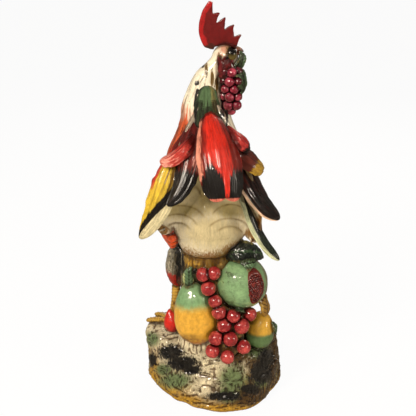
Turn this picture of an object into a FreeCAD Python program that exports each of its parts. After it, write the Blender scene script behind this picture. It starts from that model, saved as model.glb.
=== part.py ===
"""Glazed earthenware rooster on a mound heaped with fruit, luted together from separate clay pieces.

Millimetres, +Z up. The origin is the middle of the mound's flat foot. The bird looks along +Y, its
tail hangs towards -Y, and its head is turned to its right, along +X.
"""
import FreeCAD
import Part
import math
import os
from FreeCAD import Vector

# Mound: a slip-cast drum with a flat foot, open inside, with a vent through its floor
mound_width = 176.0
mound_depth = 152.0
mound_height = 76.0
mound_wall = 7.0
mound_floor = 7.0
mound_rock_share = 0.012
mound_ledge_share = 0.026
mound_ledges = 13
vent_diameter = 16.0
vent_offset = 40.0

# Stump: the rough column between mound and bird that the fruit is pressed on, bored from end to end
stump_foot_width = 96.0
stump_foot_depth = 100.0
stump_top_width = 68.0
stump_top_depth = 70.0
stump_foot_shift = 2.0
stump_foot_back = 15.0
stump_top_back = 10.0
stump_lobe_share = 0.05
flue_diameter = 34.0

# Trunk of the bird
bird_shift = -6.0
torso_width = 104.0
torso_length = 134.0
torso_height = 112.0
torso_lift = 166.0
torso_wall = 6.0
torso_forward = 4.0

# Neck and head
neck_rise = 178.0
neck_width = 104.0
neck_depth = 98.0
neck_forward = 24.0
neck_sway = 20.0
neck_wall = 5.0
head_length = 31.0
head_depth = 27.0
head_height = 30.0
head_turn_reach = 19.0
eye_diameter = 8.0
eye_stand_out = 1.6
earlobe_height = 12.0
earlobe_width = 7.0
earlobe_thickness = 6.0

# Comb: a thick upright plate with five points
comb_length = 47.0
comb_height = 54.0
comb_thickness = 8.0

# Beak and wattles
beak_length = 14.0
beak_root_height = 9.0
beak_root_depth = 9.0
beak_tip_diameter = 1.8
lower_beak_length = 9.0
lower_beak_height = 5.0
wattle_length = 24.0
wattle_width = 10.0
wattle_thickness = 6.0
wattle_spacing = 13.0

# Bunch of grapes in the beak
bunch_berry_diameter = 10.0
bunch_berry_room = 0.3
bunch_core_diameter = 10.0
bunch_stalk_diameter = 4.0
bunch_leaf_length = 33.0
bunch_leaf_width = 17.0
beak_leaf_length = 21.0
beak_leaf_width = 8.0

# Tail: a shell of long feathers that rises behind the neck and falls like a fountain
tail_spread = 80.0
tail_reach = 90.0
tail_drop = 150.0
tail_top = 142.0
tail_back = 24.0
fan_thickness = 9.0
feather_thickness = 6.0
edge_thickness_share = 0.5
middle_feather_width = 58.0
left_inner_width = 31.0
right_inner_width = 32.0
left_outer_width = 32.0
right_outer_width = 24.0
left_upper_width = 25.0
right_upper_width = 21.0
right_side_width = 22.0
crest_width = 31.0

# Wings, thighs, legs and feet
wing_length = 92.0
wing_height = 54.0
wing_thickness = 13.0
wing_slope = 30.0
thigh_width = 29.0
thigh_depth = 38.0
thigh_height = 66.0
thigh_spread = 35.0
thigh_drop = 72.0
leg_diameter = 11.0
leg_spread = 46.0
leg_forward = 12.0
spur_length = 9.0
spur_diameter = 5.0
toe_length = 37.0
toe_diameter = 8.0

# Fruit on the stump. A bearing is measured in degrees from straight back (-Y) towards +X, and a press is how
# far the fruit is pushed into the stump.
pear_length = 83.0
pear_diameter = 47.0
pear_bearing = -25.0
pear_press = 30.0
pear_lift = 10.0
pear_stem_length = 20.0
pear_stem_diameter = 6.0
pomegranate_diameter = 62.0
pomegranate_lift = 83.0
pomegranate_bearing = 50.0
pomegranate_press = 22.0
seed_window_height = 42.0
seed_window_width = 21.0
seed_window_bearing = 33.0
seed_bed_depth = 6.0
seed_window_rise_share = 0.2
crown_diameter = 15.0
crown_height = 6.0
small_pear_length = 47.0
small_pear_diameter = 35.0
small_pear_bearing = 68.0
small_pear_press = 4.0
plum_length = 34.0
plum_diameter = 19.0
plum_bearing = -89.0
plum_press = 2.0

# Bunch of grapes that hangs down the stump
cluster_length = 108.0
cluster_width = 62.0
cluster_depth = 30.0
cluster_shift = 10.0
cluster_back = 50.0
cluster_lift = 2.0
berry_diameter = 16.4

# Leaves
leaf_thickness = 4.5
top_leaf_length = 48.0
top_leaf_width = 27.0
crown_leaf_length = 30.0
crown_leaf_width = 20.0
side_leaf_length = 44.0
side_leaf_width = 15.0
pear_leaf_length = 27.0
pear_leaf_width = 13.0
small_pear_leaf_length = 17.0
small_pear_leaf_width = 8.0

# How far a luted piece is pressed into the one that carries it, how far a cutter runs past a face, and how
# close a point must be to a face to lie on it
bite = 3.0
overrun = 2.0
touch = 0.01

side_names = {-1: "left", 1: "right"}
torso_middle = Vector(bird_shift, torso_forward, mound_height + torso_lift)
tail_hub = Vector(bird_shift, -tail_back, torso_middle.z + tail_top)
head_middle = Vector(bird_shift + head_turn_reach, neck_forward, torso_middle.z + neck_rise)

# The whole outer form of each piece before it is pressed on others, and the solids that each node holds
skins = {}
pieces = {}

# Outlines of leaves and feathers: widths at even steps from root to tip
leaf_shares = (0.25, 0.70, 0.97, 1.0, 0.85, 0.52, 0.12)
long_feather_shares = (0.50, 0.78, 0.95, 1.0, 0.90, 0.66, 0.24)
blunt_feather_shares = (0.26, 0.44, 0.66, 0.87, 1.0, 0.98, 0.80, 0.46)
short_feather_shares = (0.55, 0.85, 1.0, 0.95, 0.70, 0.28)
crest_shares = (0.90, 1.0, 0.99, 0.88, 0.68, 0.34)
wing_shares = (0.42, 0.80, 0.98, 1.0, 0.90, 0.68, 0.34)

# Outlines of turned fruit: (share of the length from the foot, share of the radius)
pear_outline_shares = ((0.0, 0.28), (0.05, 0.58), (0.17, 0.86), (0.36, 1.0), (0.55, 0.96), (0.75, 0.80),
                       (0.89, 0.58), (0.97, 0.34), (1.0, 0.14))
plum_outline_shares = ((0.0, 0.30), (0.12, 0.78), (0.36, 1.0), (0.62, 0.80), (0.84, 0.46), (1.0, 0.14))
crown_outline_shares = ((-0.6, 0.62), (0.3, 0.70), (1.0, 1.0))
pear_belly_share = 0.36


# Small tools
def ring(centre, across, along, half_across, half_along, count=12, shares=None):
    """A smooth closed wire round centre, along two unit vectors. shares swell or draw in each point."""
    points = []
    for i in range(count):
        angle = 2 * math.pi * i / count
        grow = shares[i] if shares else 1.0
        points.append(centre + across * (half_across * grow * math.cos(angle))
                      + along * (half_along * grow * math.sin(angle)))
    curve = Part.BSplineCurve()
    curve.interpolate(points, PeriodicFlag=True)
    return Part.Wire([curve.toShape()])


def smooth_curve(points):
    """One smooth open curve through points."""
    curve = Part.BSplineCurve()
    curve.interpolate(points)
    return curve


def loft(wires):
    """A closed solid through wires in order."""
    solid = Part.makeLoft(wires, True, False)
    if solid.Volume < 0:
        solid.reverse()
    return solid


def level_loft(rows, lobes=None):
    """A solid through flat rings. A row is (height, middle x, middle y, half width, half depth)."""
    return loft([ring(Vector(x, y, z), Vector(1, 0, 0), Vector(0, 1, 0), half_x, half_y, 12, lobes)
                 for z, x, y, half_x, half_y in rows])


def egg(centre, half_x, half_y, half_z, turn=0.0, roll=0.0):
    """An ellipsoid, rolled in degrees about Y and then turned about Z."""
    matrix = FreeCAD.Matrix()
    matrix.scale(half_x, half_y, half_z)
    matrix.rotateY(math.radians(roll))
    matrix.rotateZ(math.radians(turn))
    matrix.move(centre)
    return Part.makeSphere(1).transformGeometry(matrix)


def station(curve, share):
    """The point and the unit direction at share of the way along a curve."""
    first, last = curve.FirstParameter, curve.LastParameter
    at = first + (last - first) * share
    return curve.value(at), Vector(*curve.tangent(at)[0]).normalize()


def rod(points, diameter, size_shares, count=8):
    """A round stick through points, with its thickness at even steps in shares of the diameter."""
    guide = smooth_curve(points)
    wires = []
    for i, size in enumerate(size_shares):
        middle, ahead = station(guide, i / (len(size_shares) - 1))
        lead = Vector(0, 1, 0) if abs(ahead.y) < 0.8 else Vector(1, 0, 0)
        across = ahead.cross(lead).normalize()
        half = diameter / 2 * size
        wires.append(ring(middle, across, across.cross(ahead), half, half, count))
    return loft(wires)


def turned_fruit(base, axis, length, diameter, outline_shares):
    """A fruit with round sections along axis, standing on base."""
    direction = Vector(*axis).normalize()
    across = direction.cross(Vector(0, 1, 0)).normalize()
    along = direction.cross(across)
    half = diameter / 2
    return loft([ring(base + direction * (length * up), across, along, half * out, half * out, 8)
                 for up, out in outline_shares])


def plate_section(middle, sideways, outward, half_width, crown, thickness):
    """A bowed strip's outline: a crowned outer line, an inner line a thickness below, and two thin edges."""
    outer, inner = [], []
    for share in (-1.0, -0.5, 0.0, 0.5, 1.0):
        rise = crown * (1 - share * share)
        thin = thickness * (1 - (1 - edge_thickness_share) * share * share)
        outer.append(middle + sideways * (half_width * share) + outward * rise)
        inner.append(middle + sideways * (half_width * share) + outward * (rise - thin))
    inner.reverse()
    return Part.Wire([smooth_curve(outer).toShape(), Part.makeLine(outer[-1], inner[0]),
                      smooth_curve(inner).toShape(), Part.makeLine(inner[-1], outer[0])])


def plate(points, width, thickness, crown_share, width_shares, facing):
    """A petal through points. facing is roughly the way its outer face looks."""
    guide = smooth_curve(points)
    wires = []
    for i, width_share in enumerate(width_shares):
        middle, ahead = station(guide, i / (len(width_shares) - 1))
        sideways = ahead.cross(Vector(*facing)).normalize()
        outward = sideways.cross(ahead).normalize()
        half = width * width_share / 2
        wires.append(plate_section(middle, sideways, outward, half, 2 * half * crown_share,
                                   thickness * (0.6 + 0.4 * min(1.0, width_share * 1.5))))
    return loft(wires)


def largest(shape):
    """The largest lump of a cut shape."""
    return max(shape.Solids, key=lambda solid: solid.Volume)


def pressed_on(shape, *carriers):
    """shape as it sits once pressed against its carriers: the room that they take is taken from it."""
    room = shape.BoundBox
    for name in carriers:
        for carrier in skins[name]:
            if room.intersect(carrier.BoundBox):
                shape = shape.cut(carrier)
    return largest(shape)


def keep(name, shape, *carriers):
    """Keeps a piece, pressed on its carriers, under its name. Later pieces are pressed on its whole form."""
    pieces[name] = [pressed_on(shape, *carriers)]
    skins[name] = [shape]


def keep_group(name, shapes, *carriers):
    """Keeps several small pieces under one name, each pressed on the carriers and on those before it."""
    pieces[name] = []
    skins[name] = []
    for shape in shapes:
        pieces[name].append(pressed_on(shape, *carriers, name))
        skins[name].append(shape)


# Mound: its outline at the foot and at the top, anticlockwise from +X in twelve steps
mound_foot_shares = (1.0, 1.0, 1.0, 1.0, 1.03, 1.07, 0.95, 0.84, 0.84, 0.95, 1.02, 0.96)
mound_top_shares = (0.93, 0.95, 0.95, 0.94, 0.98, 1.04, 0.97, 0.80, 0.77, 0.86, 0.93, 0.90)
# a level of the mound: (share of the height, share of the foot's outline, share of the full size)
mound_level_shares = ((0.0, 1.0, 0.965), (0.10, 1.0, 1.0), (0.34, 0.8, 0.995), (0.58, 0.5, 1.0),
                      (0.80, 0.2, 0.995), (0.94, 0.05, 0.985), (1.0, 0.0, 0.93))


def share_at(shares, angle):
    """The value at a bearing in a table of even steps round a full turn."""
    place = angle / (2 * math.pi) * len(shares)
    first = int(place) % len(shares)
    part = place - int(place)
    return shares[first] * (1 - part) + shares[(first + 1) % len(shares)] * part


def rock_share(angle, up):
    """How much the mound swells at a bearing and a share of its height: broad lumps, and ledges over them."""
    broad = math.sin(3 * angle + 5 * up) + 0.7 * math.sin(5 * angle - 7 * up + 1)
    upper = math.sin(mound_ledges * angle + 2 * math.sin(3 * angle)) * math.cos(7 * up + 0.6)
    lower = math.sin((mound_ledges + 3) * angle + 1) * math.sin(7 * up + math.sin(2 * angle))
    faded = 1 - 0.6 * (2 * up - 1) ** 4
    return mound_rock_share * broad + mound_ledge_share * faded * (0.65 * upper + 0.55 * lower)


def mound_body(inset, low, high):
    """The mound's solid form between two heights, drawn in by inset."""
    wires = []
    count = 3 * len(mound_foot_shares)
    for up, foot_share, swell in mound_level_shares:
        outline = []
        for angle in [2 * math.pi * i / count for i in range(count)]:
            plain = (share_at(mound_foot_shares, angle) * foot_share
                     + share_at(mound_top_shares, angle) * (1 - foot_share))
            outline.append(swell * plain + rock_share(angle, up))
        wires.append(ring(Vector(0, 0, low + (high - low) * up), Vector(1, 0, 0), Vector(0, 1, 0),
                          mound_width / 2 - inset, mound_depth / 2 - inset, count, outline))
    return loft(wires)


def make_mound():
    skin = mound_body(0.0, 0.0, mound_height)
    hollow = mound_body(mound_wall, mound_floor, mound_height - mound_wall)
    vent = Part.makeCylinder(vent_diameter / 2, mound_floor + 2 * overrun, Vector(0, vent_offset, -overrun))
    skins["mound"] = [skin]
    pieces["mound"] = [largest(skin.cut(hollow).cut(vent).cut(flue_shape()))]


# Stump
def stump_rise():
    """The height from the mound's top to where the stump goes into the trunk."""
    return torso_lift - torso_height / 4


def stump_section(z):
    """(middle x, middle y, half width, half depth) of the stump at height z."""
    up = min(1.0, max(0.0, (z - mound_height) / stump_rise()))
    flare = (1 - up) ** 1.3
    middle_x = stump_foot_shift + (bird_shift - stump_foot_shift) * up
    middle_y = -stump_foot_back + (stump_foot_back - stump_top_back) * up
    half_x = (stump_top_width + (stump_foot_width - stump_top_width) * flare) / 2
    half_y = (stump_top_depth + (stump_foot_depth - stump_top_depth) * flare) / 2
    return middle_x, middle_y, half_x, half_y


def stump_seat(bearing, z, out):
    """The point at height z that stands out from the stump's face by out, at a bearing from straight back."""
    middle_x, middle_y, half_x, half_y = stump_section(z)
    angle = math.radians(bearing)
    reach = 1 / math.hypot(math.sin(angle) / half_x, math.cos(angle) / half_y) + out
    return Vector(middle_x + reach * math.sin(angle), middle_y - reach * math.cos(angle), z)


def flue_shape():
    """The upright passage that joins the hollows of the mound, the stump and the trunk."""
    low = mound_height - mound_wall - overrun
    top = torso_middle.z - torso_height / 2 + torso_wall + overrun
    return Part.makeCylinder(flue_diameter / 2, top - low, Vector(stump_foot_shift, -stump_foot_back, low))


def make_stump():
    lobes = [1 + stump_lobe_share * math.cos(5 * 2 * math.pi * i / 12) for i in range(12)]
    foot = mound_height - bite
    rows = [(foot + (stump_rise() + bite) * up,) + stump_section(foot + (stump_rise() + bite) * up)
            for up in (0.0, 0.2, 0.4, 0.6, 0.8, 1.0)]
    skin = level_loft(rows, lobes)
    skins["stump"] = [skin]
    pieces["stump"] = [largest(pressed_on(skin, "mound", "torso").cut(flue_shape()))]


# Trunk, neck and head
def make_torso():
    half = (torso_width / 2, torso_length / 2, torso_height / 2)
    skin = egg(torso_middle, *half)
    hollow = egg(torso_middle, *[size - torso_wall for size in half])
    skins["torso"] = [skin]
    pieces["torso"] = [largest(skin.cut(hollow).cut(flue_shape()).cut(neck_body(neck_wall)))]


# a level of the neck: shares of the rise, of the sway to the side and ahead, of the width and of the depth
neck_shares = ((0.02, 0.0, -0.10, 0.62, 0.72), (0.15, -0.06, 0.02, 0.84, 0.86),
               (0.28, -0.14, 0.12, 0.93, 0.87), (0.40, -0.15, 0.20, 0.84, 0.79),
               (0.50, -0.13, 0.24, 0.70, 0.69), (0.60, -0.17, 0.25, 0.575, 0.59),
               (0.72, -0.20, 0.20, 0.445, 0.48), (0.854, -0.02, 0.10, 0.31, 0.36),
               (0.94, 0.33, 0.02, 0.26, 0.28), (1.0, 0.72, 0.0, 0.22, 0.24))


def neck_body(inset):
    """The neck, from inside the trunk to inside the head, drawn in by inset."""
    rows = [(torso_middle.z + neck_rise * up, bird_shift + neck_sway * side, neck_forward + neck_sway * ahead,
             neck_width / 2 * wide - inset, neck_depth / 2 * deep - inset)
            for up, side, ahead, wide, deep in neck_shares]
    return level_loft(rows)


def make_neck():
    skin = neck_body(0.0)
    skins["neck"] = [skin]
    pieces["neck"] = [largest(pressed_on(skin, "torso").cut(neck_body(neck_wall)))]


def make_head():
    keep("head", egg(head_middle, head_length / 2, head_depth / 2, head_height / 2, 0.0, 18.0), "neck")


# the comb's outline in shares of its length and height: its round back edge, then its five points
comb_back_shares = ((0.26, -0.06), (0.06, 0.13), (0.0, 0.40), (0.07, 0.75), (0.24, 0.985))
comb_point_shares = ((0.32, 0.97), (0.325, 0.74), (0.47, 0.755), (0.405, 0.56), (0.61, 0.655), (0.64, 0.455),
                     (0.81, 0.50), (0.865, 0.285), (1.0, 0.30), (0.90, 0.02), (0.84, -0.12))


def make_comb():
    corner = Vector(head_middle.x - comb_length * 0.64, head_middle.y + comb_thickness / 2,
                    head_middle.z + head_height * 0.31)
    back = [corner + Vector(comb_length * out, 0, comb_height * up) for out, up in comb_back_shares]
    points = [corner + Vector(comb_length * out, 0, comb_height * up) for out, up in comb_point_shares]
    outline = [back[-1]] + points + [back[0]]
    edges = [smooth_curve(back).toShape()] + [Part.makeLine(a, b) for a, b in zip(outline, outline[1:])]
    keep("comb", Part.Face(Part.Wire(edges)).extrude(Vector(0, -comb_thickness, 0)), "head", "neck")


def beak_half(root, length, height, depth, table_shares):
    """One half of the beak along +X. A row is (share of the length, of the root's size, of its height up)."""
    return loft([ring(root + Vector(length * out, 0, height * rise), Vector(0, 1, 0), Vector(0, 0, 1),
                      depth / 2 * size, height / 2 * size, 8) for out, size, rise in table_shares])


def beak_root():
    return head_middle + Vector(head_length * 0.34, 0, head_height * 0.10)


def make_beak():
    tip_share = beak_tip_diameter / beak_root_height
    outline_shares = ((0.0, 1.0, 0.0), (0.45, 0.80, 0.03), (0.8, 0.45, -0.06), (1.0, tip_share, -0.24))
    keep("upper_beak", beak_half(beak_root(), beak_length, beak_root_height, beak_root_depth, outline_shares),
         "head")
    low = beak_root() - Vector(0, 0, beak_root_height * 0.55)
    outline_shares = ((0.0, 0.9, 0.0), (0.55, 0.75, -0.05), (1.0, 0.35, 0.0))
    keep("lower_beak", beak_half(low, lower_beak_length, lower_beak_height, beak_root_depth, outline_shares),
         "head", "upper_beak")


def make_face():
    # the head is turned to +X, so its right cheek looks to -Y
    for side in (-1, 1):
        name = side_names[side]
        cheek = head_middle + Vector(head_length * 0.20, -side * head_depth * 0.40, head_height * 0.08)
        keep(name + "_eye", egg(cheek, eye_diameter / 2, eye_stand_out + head_depth * 0.06, eye_diameter / 2),
             "head", "neck")
        lobe = head_middle + Vector(-head_length * 0.10, -side * head_depth * 0.40, -head_height * 0.24)
        half = (earlobe_width / 2, earlobe_thickness / 2, earlobe_height / 2)
        keep(name + "_earlobe", egg(lobe, *half, 0.0, -12.0), "head", "neck", name + "_eye")
        hang = head_middle + Vector(head_length * 0.16, -side * wattle_spacing / 2, -head_height * 0.72)
        keep(name + "_wattle", egg(hang, wattle_width / 2, wattle_thickness / 2, wattle_length / 2, 0.0, 8.0),
             "head", "neck", "upper_beak", "lower_beak", name + "_earlobe")


# Bunch in the beak: rings of berries from the top down
bunch_ring_counts = (4, 5, 5, 5, 4, 1)


def berry_pitch():
    """From the middle of one berry to the middle of the next, with a little room between them."""
    return bunch_berry_diameter + bunch_berry_room


def berry_ring(count, phase):
    """Places of a ring's berries about its middle, a pitch apart."""
    radius = 0.0 if count == 1 else berry_pitch() / 2 / math.sin(math.pi / count)
    angles = [phase + 2 * math.pi * i / count for i in range(count)]
    return [Vector(radius * math.cos(a), radius * math.sin(a), 0) for a in angles]


def nest_drop(upper, lower):
    """How far below the upper ring the lower one hangs, so that its nearest berries are a pitch away."""
    near = min((a - b).Length for a in upper for b in lower)
    return math.sqrt(max(0.0, berry_pitch() ** 2 - near ** 2))


def bunch_top():
    return Vector(head_middle.x + head_length * 0.24, head_middle.y - head_depth * 0.36,
                  head_middle.z - head_height * 0.78)


def make_bunch():
    """The bunch that hangs from the beak: a core, the berries round it, a stalk and two leaves."""
    rings = [berry_ring(count, math.radians(36.0 * i)) for i, count in enumerate(bunch_ring_counts)]
    middles, fall = [], 0.0
    for i, places in enumerate(rings):
        if i > 0:
            fall += nest_drop(rings[i - 1], places)
        middles += [bunch_top() + place - Vector(0, 0, fall) for place in places]
    half = bunch_core_diameter / 2
    core = [bunch_top() + Vector(0, 0, half * 0.8), bunch_top() - Vector(0, 0, fall / 2),
            bunch_top() - Vector(0, 0, fall - half)]
    keep("bunch_core", rod(core, bunch_core_diameter, (0.5, 0.9, 1.0, 0.9, 0.4)),
         "head", "neck", "left_wattle", "right_wattle")
    outside = [middle for middle in middles if not skins["neck"][0].isInside(middle, touch, True)]
    berries = [Part.makeSphere(bunch_berry_diameter / 2, middle) for middle in outside]
    keep_group("bunch_berries", berries, "bunch_core", "neck", "head", "left_wattle", "right_wattle")
    mouth = beak_root() + Vector(lower_beak_length * 0.7, -beak_root_depth * 0.42, -beak_root_height * 0.55)
    stalk = [mouth + Vector(0, beak_root_depth * 0.3, 0),
             mouth + Vector(0, -bunch_stalk_diameter * 0.5, -bite),
             bunch_top() + Vector(bunch_core_diameter * 0.2, 0, bunch_core_diameter * 0.7), bunch_top()]
    keep("bunch_stalk", rod(stalk, bunch_stalk_diameter, (0.9, 0.9, 0.9, 1.0, 1.1)),
         "lower_beak", "upper_beak", "head", "neck", "bunch_core", "left_wattle", "right_wattle",
         "bunch_berries")
    root = bunch_top() + Vector(bunch_core_diameter * 0.2, 0, bunch_core_diameter * 0.25)
    leaf = [root,
            root + Vector(bunch_leaf_length * 0.24, -bunch_leaf_length * 0.03, -bunch_leaf_length * 0.10),
            root + Vector(bunch_leaf_length * 0.36, -bunch_leaf_length * 0.04, -bunch_leaf_length * 0.46),
            root + Vector(bunch_leaf_length * 0.30, -bunch_leaf_length * 0.05, -bunch_leaf_length * 0.85)]
    keep("bunch_leaf", plate(leaf, bunch_leaf_width, leaf_thickness, 0.10, leaf_shares, (0.75, -0.6, 0.25)),
         "bunch_stalk", "bunch_core", "bunch_berries", "left_wattle", "right_wattle", "neck")
    tip = beak_root() + Vector(beak_length * 0.62, -beak_root_depth * 0.20, -beak_root_height * 0.30)
    leaf = [tip, tip + Vector(beak_leaf_length * 0.16, 0, -beak_leaf_length * 0.30),
            tip + Vector(beak_leaf_length * 0.06, -beak_leaf_length * 0.02, -beak_leaf_length * 0.66),
            tip + Vector(-beak_leaf_length * 0.12, -beak_leaf_length * 0.04, -beak_leaf_length)]
    keep("beak_leaf", plate(leaf, beak_leaf_width, leaf_thickness, 0.10, leaf_shares, (0.7, -0.7, 0.1)),
         "upper_beak", "lower_beak", "bunch_stalk", "bunch_core", "bunch_leaf", "bunch_berries")


# Tail
def tail_point(side, back, down):
    """A point of the tail in shares of its spread, reach and drop, from the hub at its top."""
    return tail_hub + Vector(tail_spread * side, -tail_reach * back, -tail_drop * down)


# a level of the tail's shell: (down, half width, and how far back its ends, hollow face and outer face are)
fan_shares = ((1.06, 0.66, 0.34, -0.42, -0.62), (0.88, 0.76, 0.42, 0.08, -0.20),
              (0.68, 0.70, 0.46, 0.18, -0.14), (0.45, 0.54, 0.42, 0.20, -0.12),
              (0.22, 0.34, 0.30, 0.20, -0.10), (0.04, 0.13, 0.12, 0.10, -0.06))


def make_fan():
    """The cream body of the tail: a tall shell, hollow towards the rear, that the feathers are luted to."""
    rim = fan_thickness / tail_reach / 2
    wires = []
    for down, wide, ends, hollow, outer in fan_shares:
        outer_line, inner_line = [], []
        for share in (-1.0, -0.6, 0.0, 0.6, 1.0):
            bow = 1 - share * share
            outer_line.append(tail_point(wide * share, ends - rim + (outer - ends) * bow, down))
            inner_line.append(tail_point(wide * share * 0.97, ends + rim + (hollow - ends) * bow, down))
        inner_line.reverse()
        left_rim = Part.makeLine(inner_line[-1], outer_line[0])
        right_rim = Part.makeLine(outer_line[-1], inner_line[0])
        wires.append(Part.Wire([smooth_curve(outer_line).toShape(), right_rim,
                                smooth_curve(inner_line).toShape(), left_rim]))
    keep("tail_fan", loft(wires), "torso", "neck")


# where each feather runs, root to tip, in the tail's shares (side, back, down), those on top first
feather_run_shares = {
    "crest_feather": ((-0.02, 0.32, 0.19), (-0.02, 0.22, 0.10),
                      (-0.02, 0.10, 0.02), (-0.02, 0.0, -0.055)),
    "middle_feather": ((-0.01, 0.04, 0.10), (0.03, 0.38, 0.13),
                       (0.125, 0.74, 0.35), (0.25, 0.94, 0.65)),
    "left_inner_feather": ((-0.08, 0.08, 0.10), (-0.26, 0.40, 0.28),
                           (-0.35, 0.65, 0.53), (-0.51, 0.80, 0.735)),
    "right_inner_feather": ((0.12, 0.10, 0.12), (0.42, 0.30, 0.38),
                            (0.655, 0.52, 0.65), (0.97, 0.70, 0.83)),
    "left_outer_feather": ((-0.20, 0.08, 0.19), (-0.50, 0.22, 0.44),
                           (-0.71, 0.42, 0.76), (-0.99, 0.62, 1.01)),
    "right_outer_feather": ((0.36, 0.20, 0.43), (0.56, 0.32, 0.78),
                            (0.72, 0.42, 0.99), (1.02, 0.53, 1.20)),
    "left_upper_feather": ((-0.18, 0.06, 0.20), (-0.42, 0.12, 0.37),
                           (-0.58, 0.12, 0.45), (-0.71, 0.05, 0.50)),
    "right_upper_feather": ((0.10, 0.08, 0.12), (0.28, 0.24, 0.22),
                            (0.42, 0.30, 0.31), (0.53, 0.28, 0.385)),
    "right_side_feather": ((0.22, -0.06, 0.28), (0.46, -0.04, 0.43),
                           (0.64, 0.02, 0.52), (0.81, 0.08, 0.60)),
}
# how each is made: width, outline, bow as a share of its width, and roughly where its outer face looks
feather_forms = {
    "crest_feather": (crest_width, crest_shares, 0.20, (0.0, -1.0, 0.35)),
    "middle_feather": (middle_feather_width, blunt_feather_shares, 0.18, (0.0, -0.5, 0.86)),
    "left_inner_feather": (left_inner_width, long_feather_shares, 0.16, (-0.30, -0.65, 0.6)),
    "right_inner_feather": (right_inner_width, long_feather_shares, 0.14, (0.35, -0.6, 0.6)),
    "left_outer_feather": (left_outer_width, long_feather_shares, 0.14, (-0.38, -0.72, 0.45)),
    "right_outer_feather": (right_outer_width, long_feather_shares, 0.14, (0.8, -0.4, 0.35)),
    "left_upper_feather": (left_upper_width, short_feather_shares, 0.18, (-0.3, -0.2, 0.85)),
    "right_upper_feather": (right_upper_width, short_feather_shares, 0.18, (0.3, -0.3, 0.85)),
    "right_side_feather": (right_side_width, short_feather_shares, 0.16, (0.4, -0.2, 0.85)),
}


def make_feathers():
    laid = []
    for name, run in feather_run_shares.items():
        width, outline, bow, facing = feather_forms[name]
        points = [tail_point(*shares) for shares in run]
        keep(name, plate(points, width, feather_thickness, bow, outline, facing),
             "tail_fan", "torso", "neck", *laid)
        laid.append(name)


# Wings, thighs, legs and feet
# a wing's middle line, shoulder to tip, in shares of its length, slope and thickness (back, down, out)
wing_run_shares = {
    "left": ((-0.46, 0.12, -0.75), (-0.18, 0.0, 0.05), (0.10, -0.24, 0.15), (0.36, -0.66, -0.30),
             (0.54, -1.05, -1.10)),
    "right": ((-0.46, 0.12, -0.75), (-0.18, 0.0, 0.05), (0.08, -0.20, 0.25), (0.28, -0.46, 0.0),
              (0.40, -0.72, -0.55)),
}
# heading of each toe from straight ahead towards its own side, and its length
toe_shares = ((78.0, 1.0), (46.0, 0.95), (8.0, 1.0), (200.0, 0.5))


def make_wing(side):
    name = side_names[side]
    shoulder = torso_middle + Vector(side * torso_width / 2, 0, 0)
    points = [shoulder + Vector(side * wing_thickness * out, -wing_length * back, wing_slope * down)
              for back, down, out in wing_run_shares[name]]
    keep(name + "_wing", plate(points, wing_height, wing_thickness, 0.12, wing_shares, (side, 0.0, 0.1)),
         "torso", "neck", "tail_fan", "left_outer_feather", "right_outer_feather")


def make_leg(side):
    name = side_names[side]
    hip = Vector(bird_shift + side * thigh_spread, torso_forward + bite, torso_middle.z - thigh_drop)
    keep(name + "_thigh", egg(hip, thigh_width / 2, thigh_depth / 2, thigh_height / 2, 0.0, -side * 8.0),
         "torso", name + "_wing", "stump")
    ankle = Vector(bird_shift + side * leg_spread, leg_forward, mound_height + toe_diameter * 0.6)
    knee = hip + Vector(side * thigh_width * 0.20, 0, bite * 2 - thigh_height / 2)
    shin = [knee, knee + (ankle - knee) * 0.5 - Vector(0, leg_diameter * 0.2, 0), ankle]
    keep(name + "_leg", rod(shin, leg_diameter, (1.05, 0.92, 0.9, 0.98, 1.15)),
         name + "_thigh", "mound", "stump")
    spur = station(smooth_curve(shin), 0.7)[0]
    keep(name + "_spur", rod([spur, spur + Vector(side * spur_length * 0.45, -spur_length * 0.5, 0),
                              spur + Vector(side * spur_length * 0.75, -spur_length, spur_length * 0.25)],
                             spur_diameter, (1.0, 0.8, 0.35)), name + "_leg", "stump")
    toes = []
    for heading, reach in toe_shares:
        angle = math.radians(heading)
        ahead = Vector(side * math.sin(angle), math.cos(angle), 0)
        root = Vector(ankle.x, ankle.y, mound_height + toe_diameter * 0.36)
        toe = [root, root + ahead * (toe_length * reach * 0.5) + Vector(0, 0, toe_diameter * 0.25),
               root + ahead * (toe_length * reach) - Vector(0, 0, toe_diameter * 0.15)]
        toes.append(rod(toe, toe_diameter, (0.8, 0.95, 0.86, 0.9, 0.42)))
    keep_group(name + "_toes", toes, name + "_leg", "mound", "stump")


# Fruit
def make_pear():
    axis = Vector(-0.10, 0.04, 1.0).normalize()
    foot = mound_height - bite + pear_lift
    belly = stump_seat(pear_bearing, foot + pear_length * pear_belly_share, pear_diameter / 2 - pear_press)
    base = belly - axis * (pear_length * pear_belly_share)
    keep("pear", turned_fruit(base, axis, pear_length, pear_diameter, pear_outline_shares),
         "mound", "stump", "torso", "left_thigh", "left_leg", "left_toes")
    top = base + axis * (pear_length * 0.95)
    stem = [top, top + Vector(pear_stem_length * 0.25, 0, pear_stem_length * 0.5),
            top + Vector(-pear_stem_length * 0.15, pear_stem_length * 0.1, pear_stem_length)]
    keep("pear_stem", rod(stem, pear_stem_diameter, (0.9, 0.8, 0.9, 1.15)),
         "pear", "torso", "stump", "left_thigh")
    leaf = [top + Vector(0, -pear_stem_diameter * 0.3, 0),
            top + Vector(-pear_leaf_length * 0.30, -pear_leaf_length * 0.16, pear_leaf_length * 0.28),
            top + Vector(-pear_leaf_length * 0.34, -pear_leaf_length * 0.12, pear_leaf_length * 0.62),
            top + Vector(-pear_leaf_length * 0.16, 0, pear_leaf_length * 0.92)]
    keep("pear_leaf", plate(leaf, pear_leaf_width, leaf_thickness, 0.12, leaf_shares, (0.2, -0.95, 0.2)),
         "pear", "pear_stem", "torso", "stump", "left_thigh")


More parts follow.
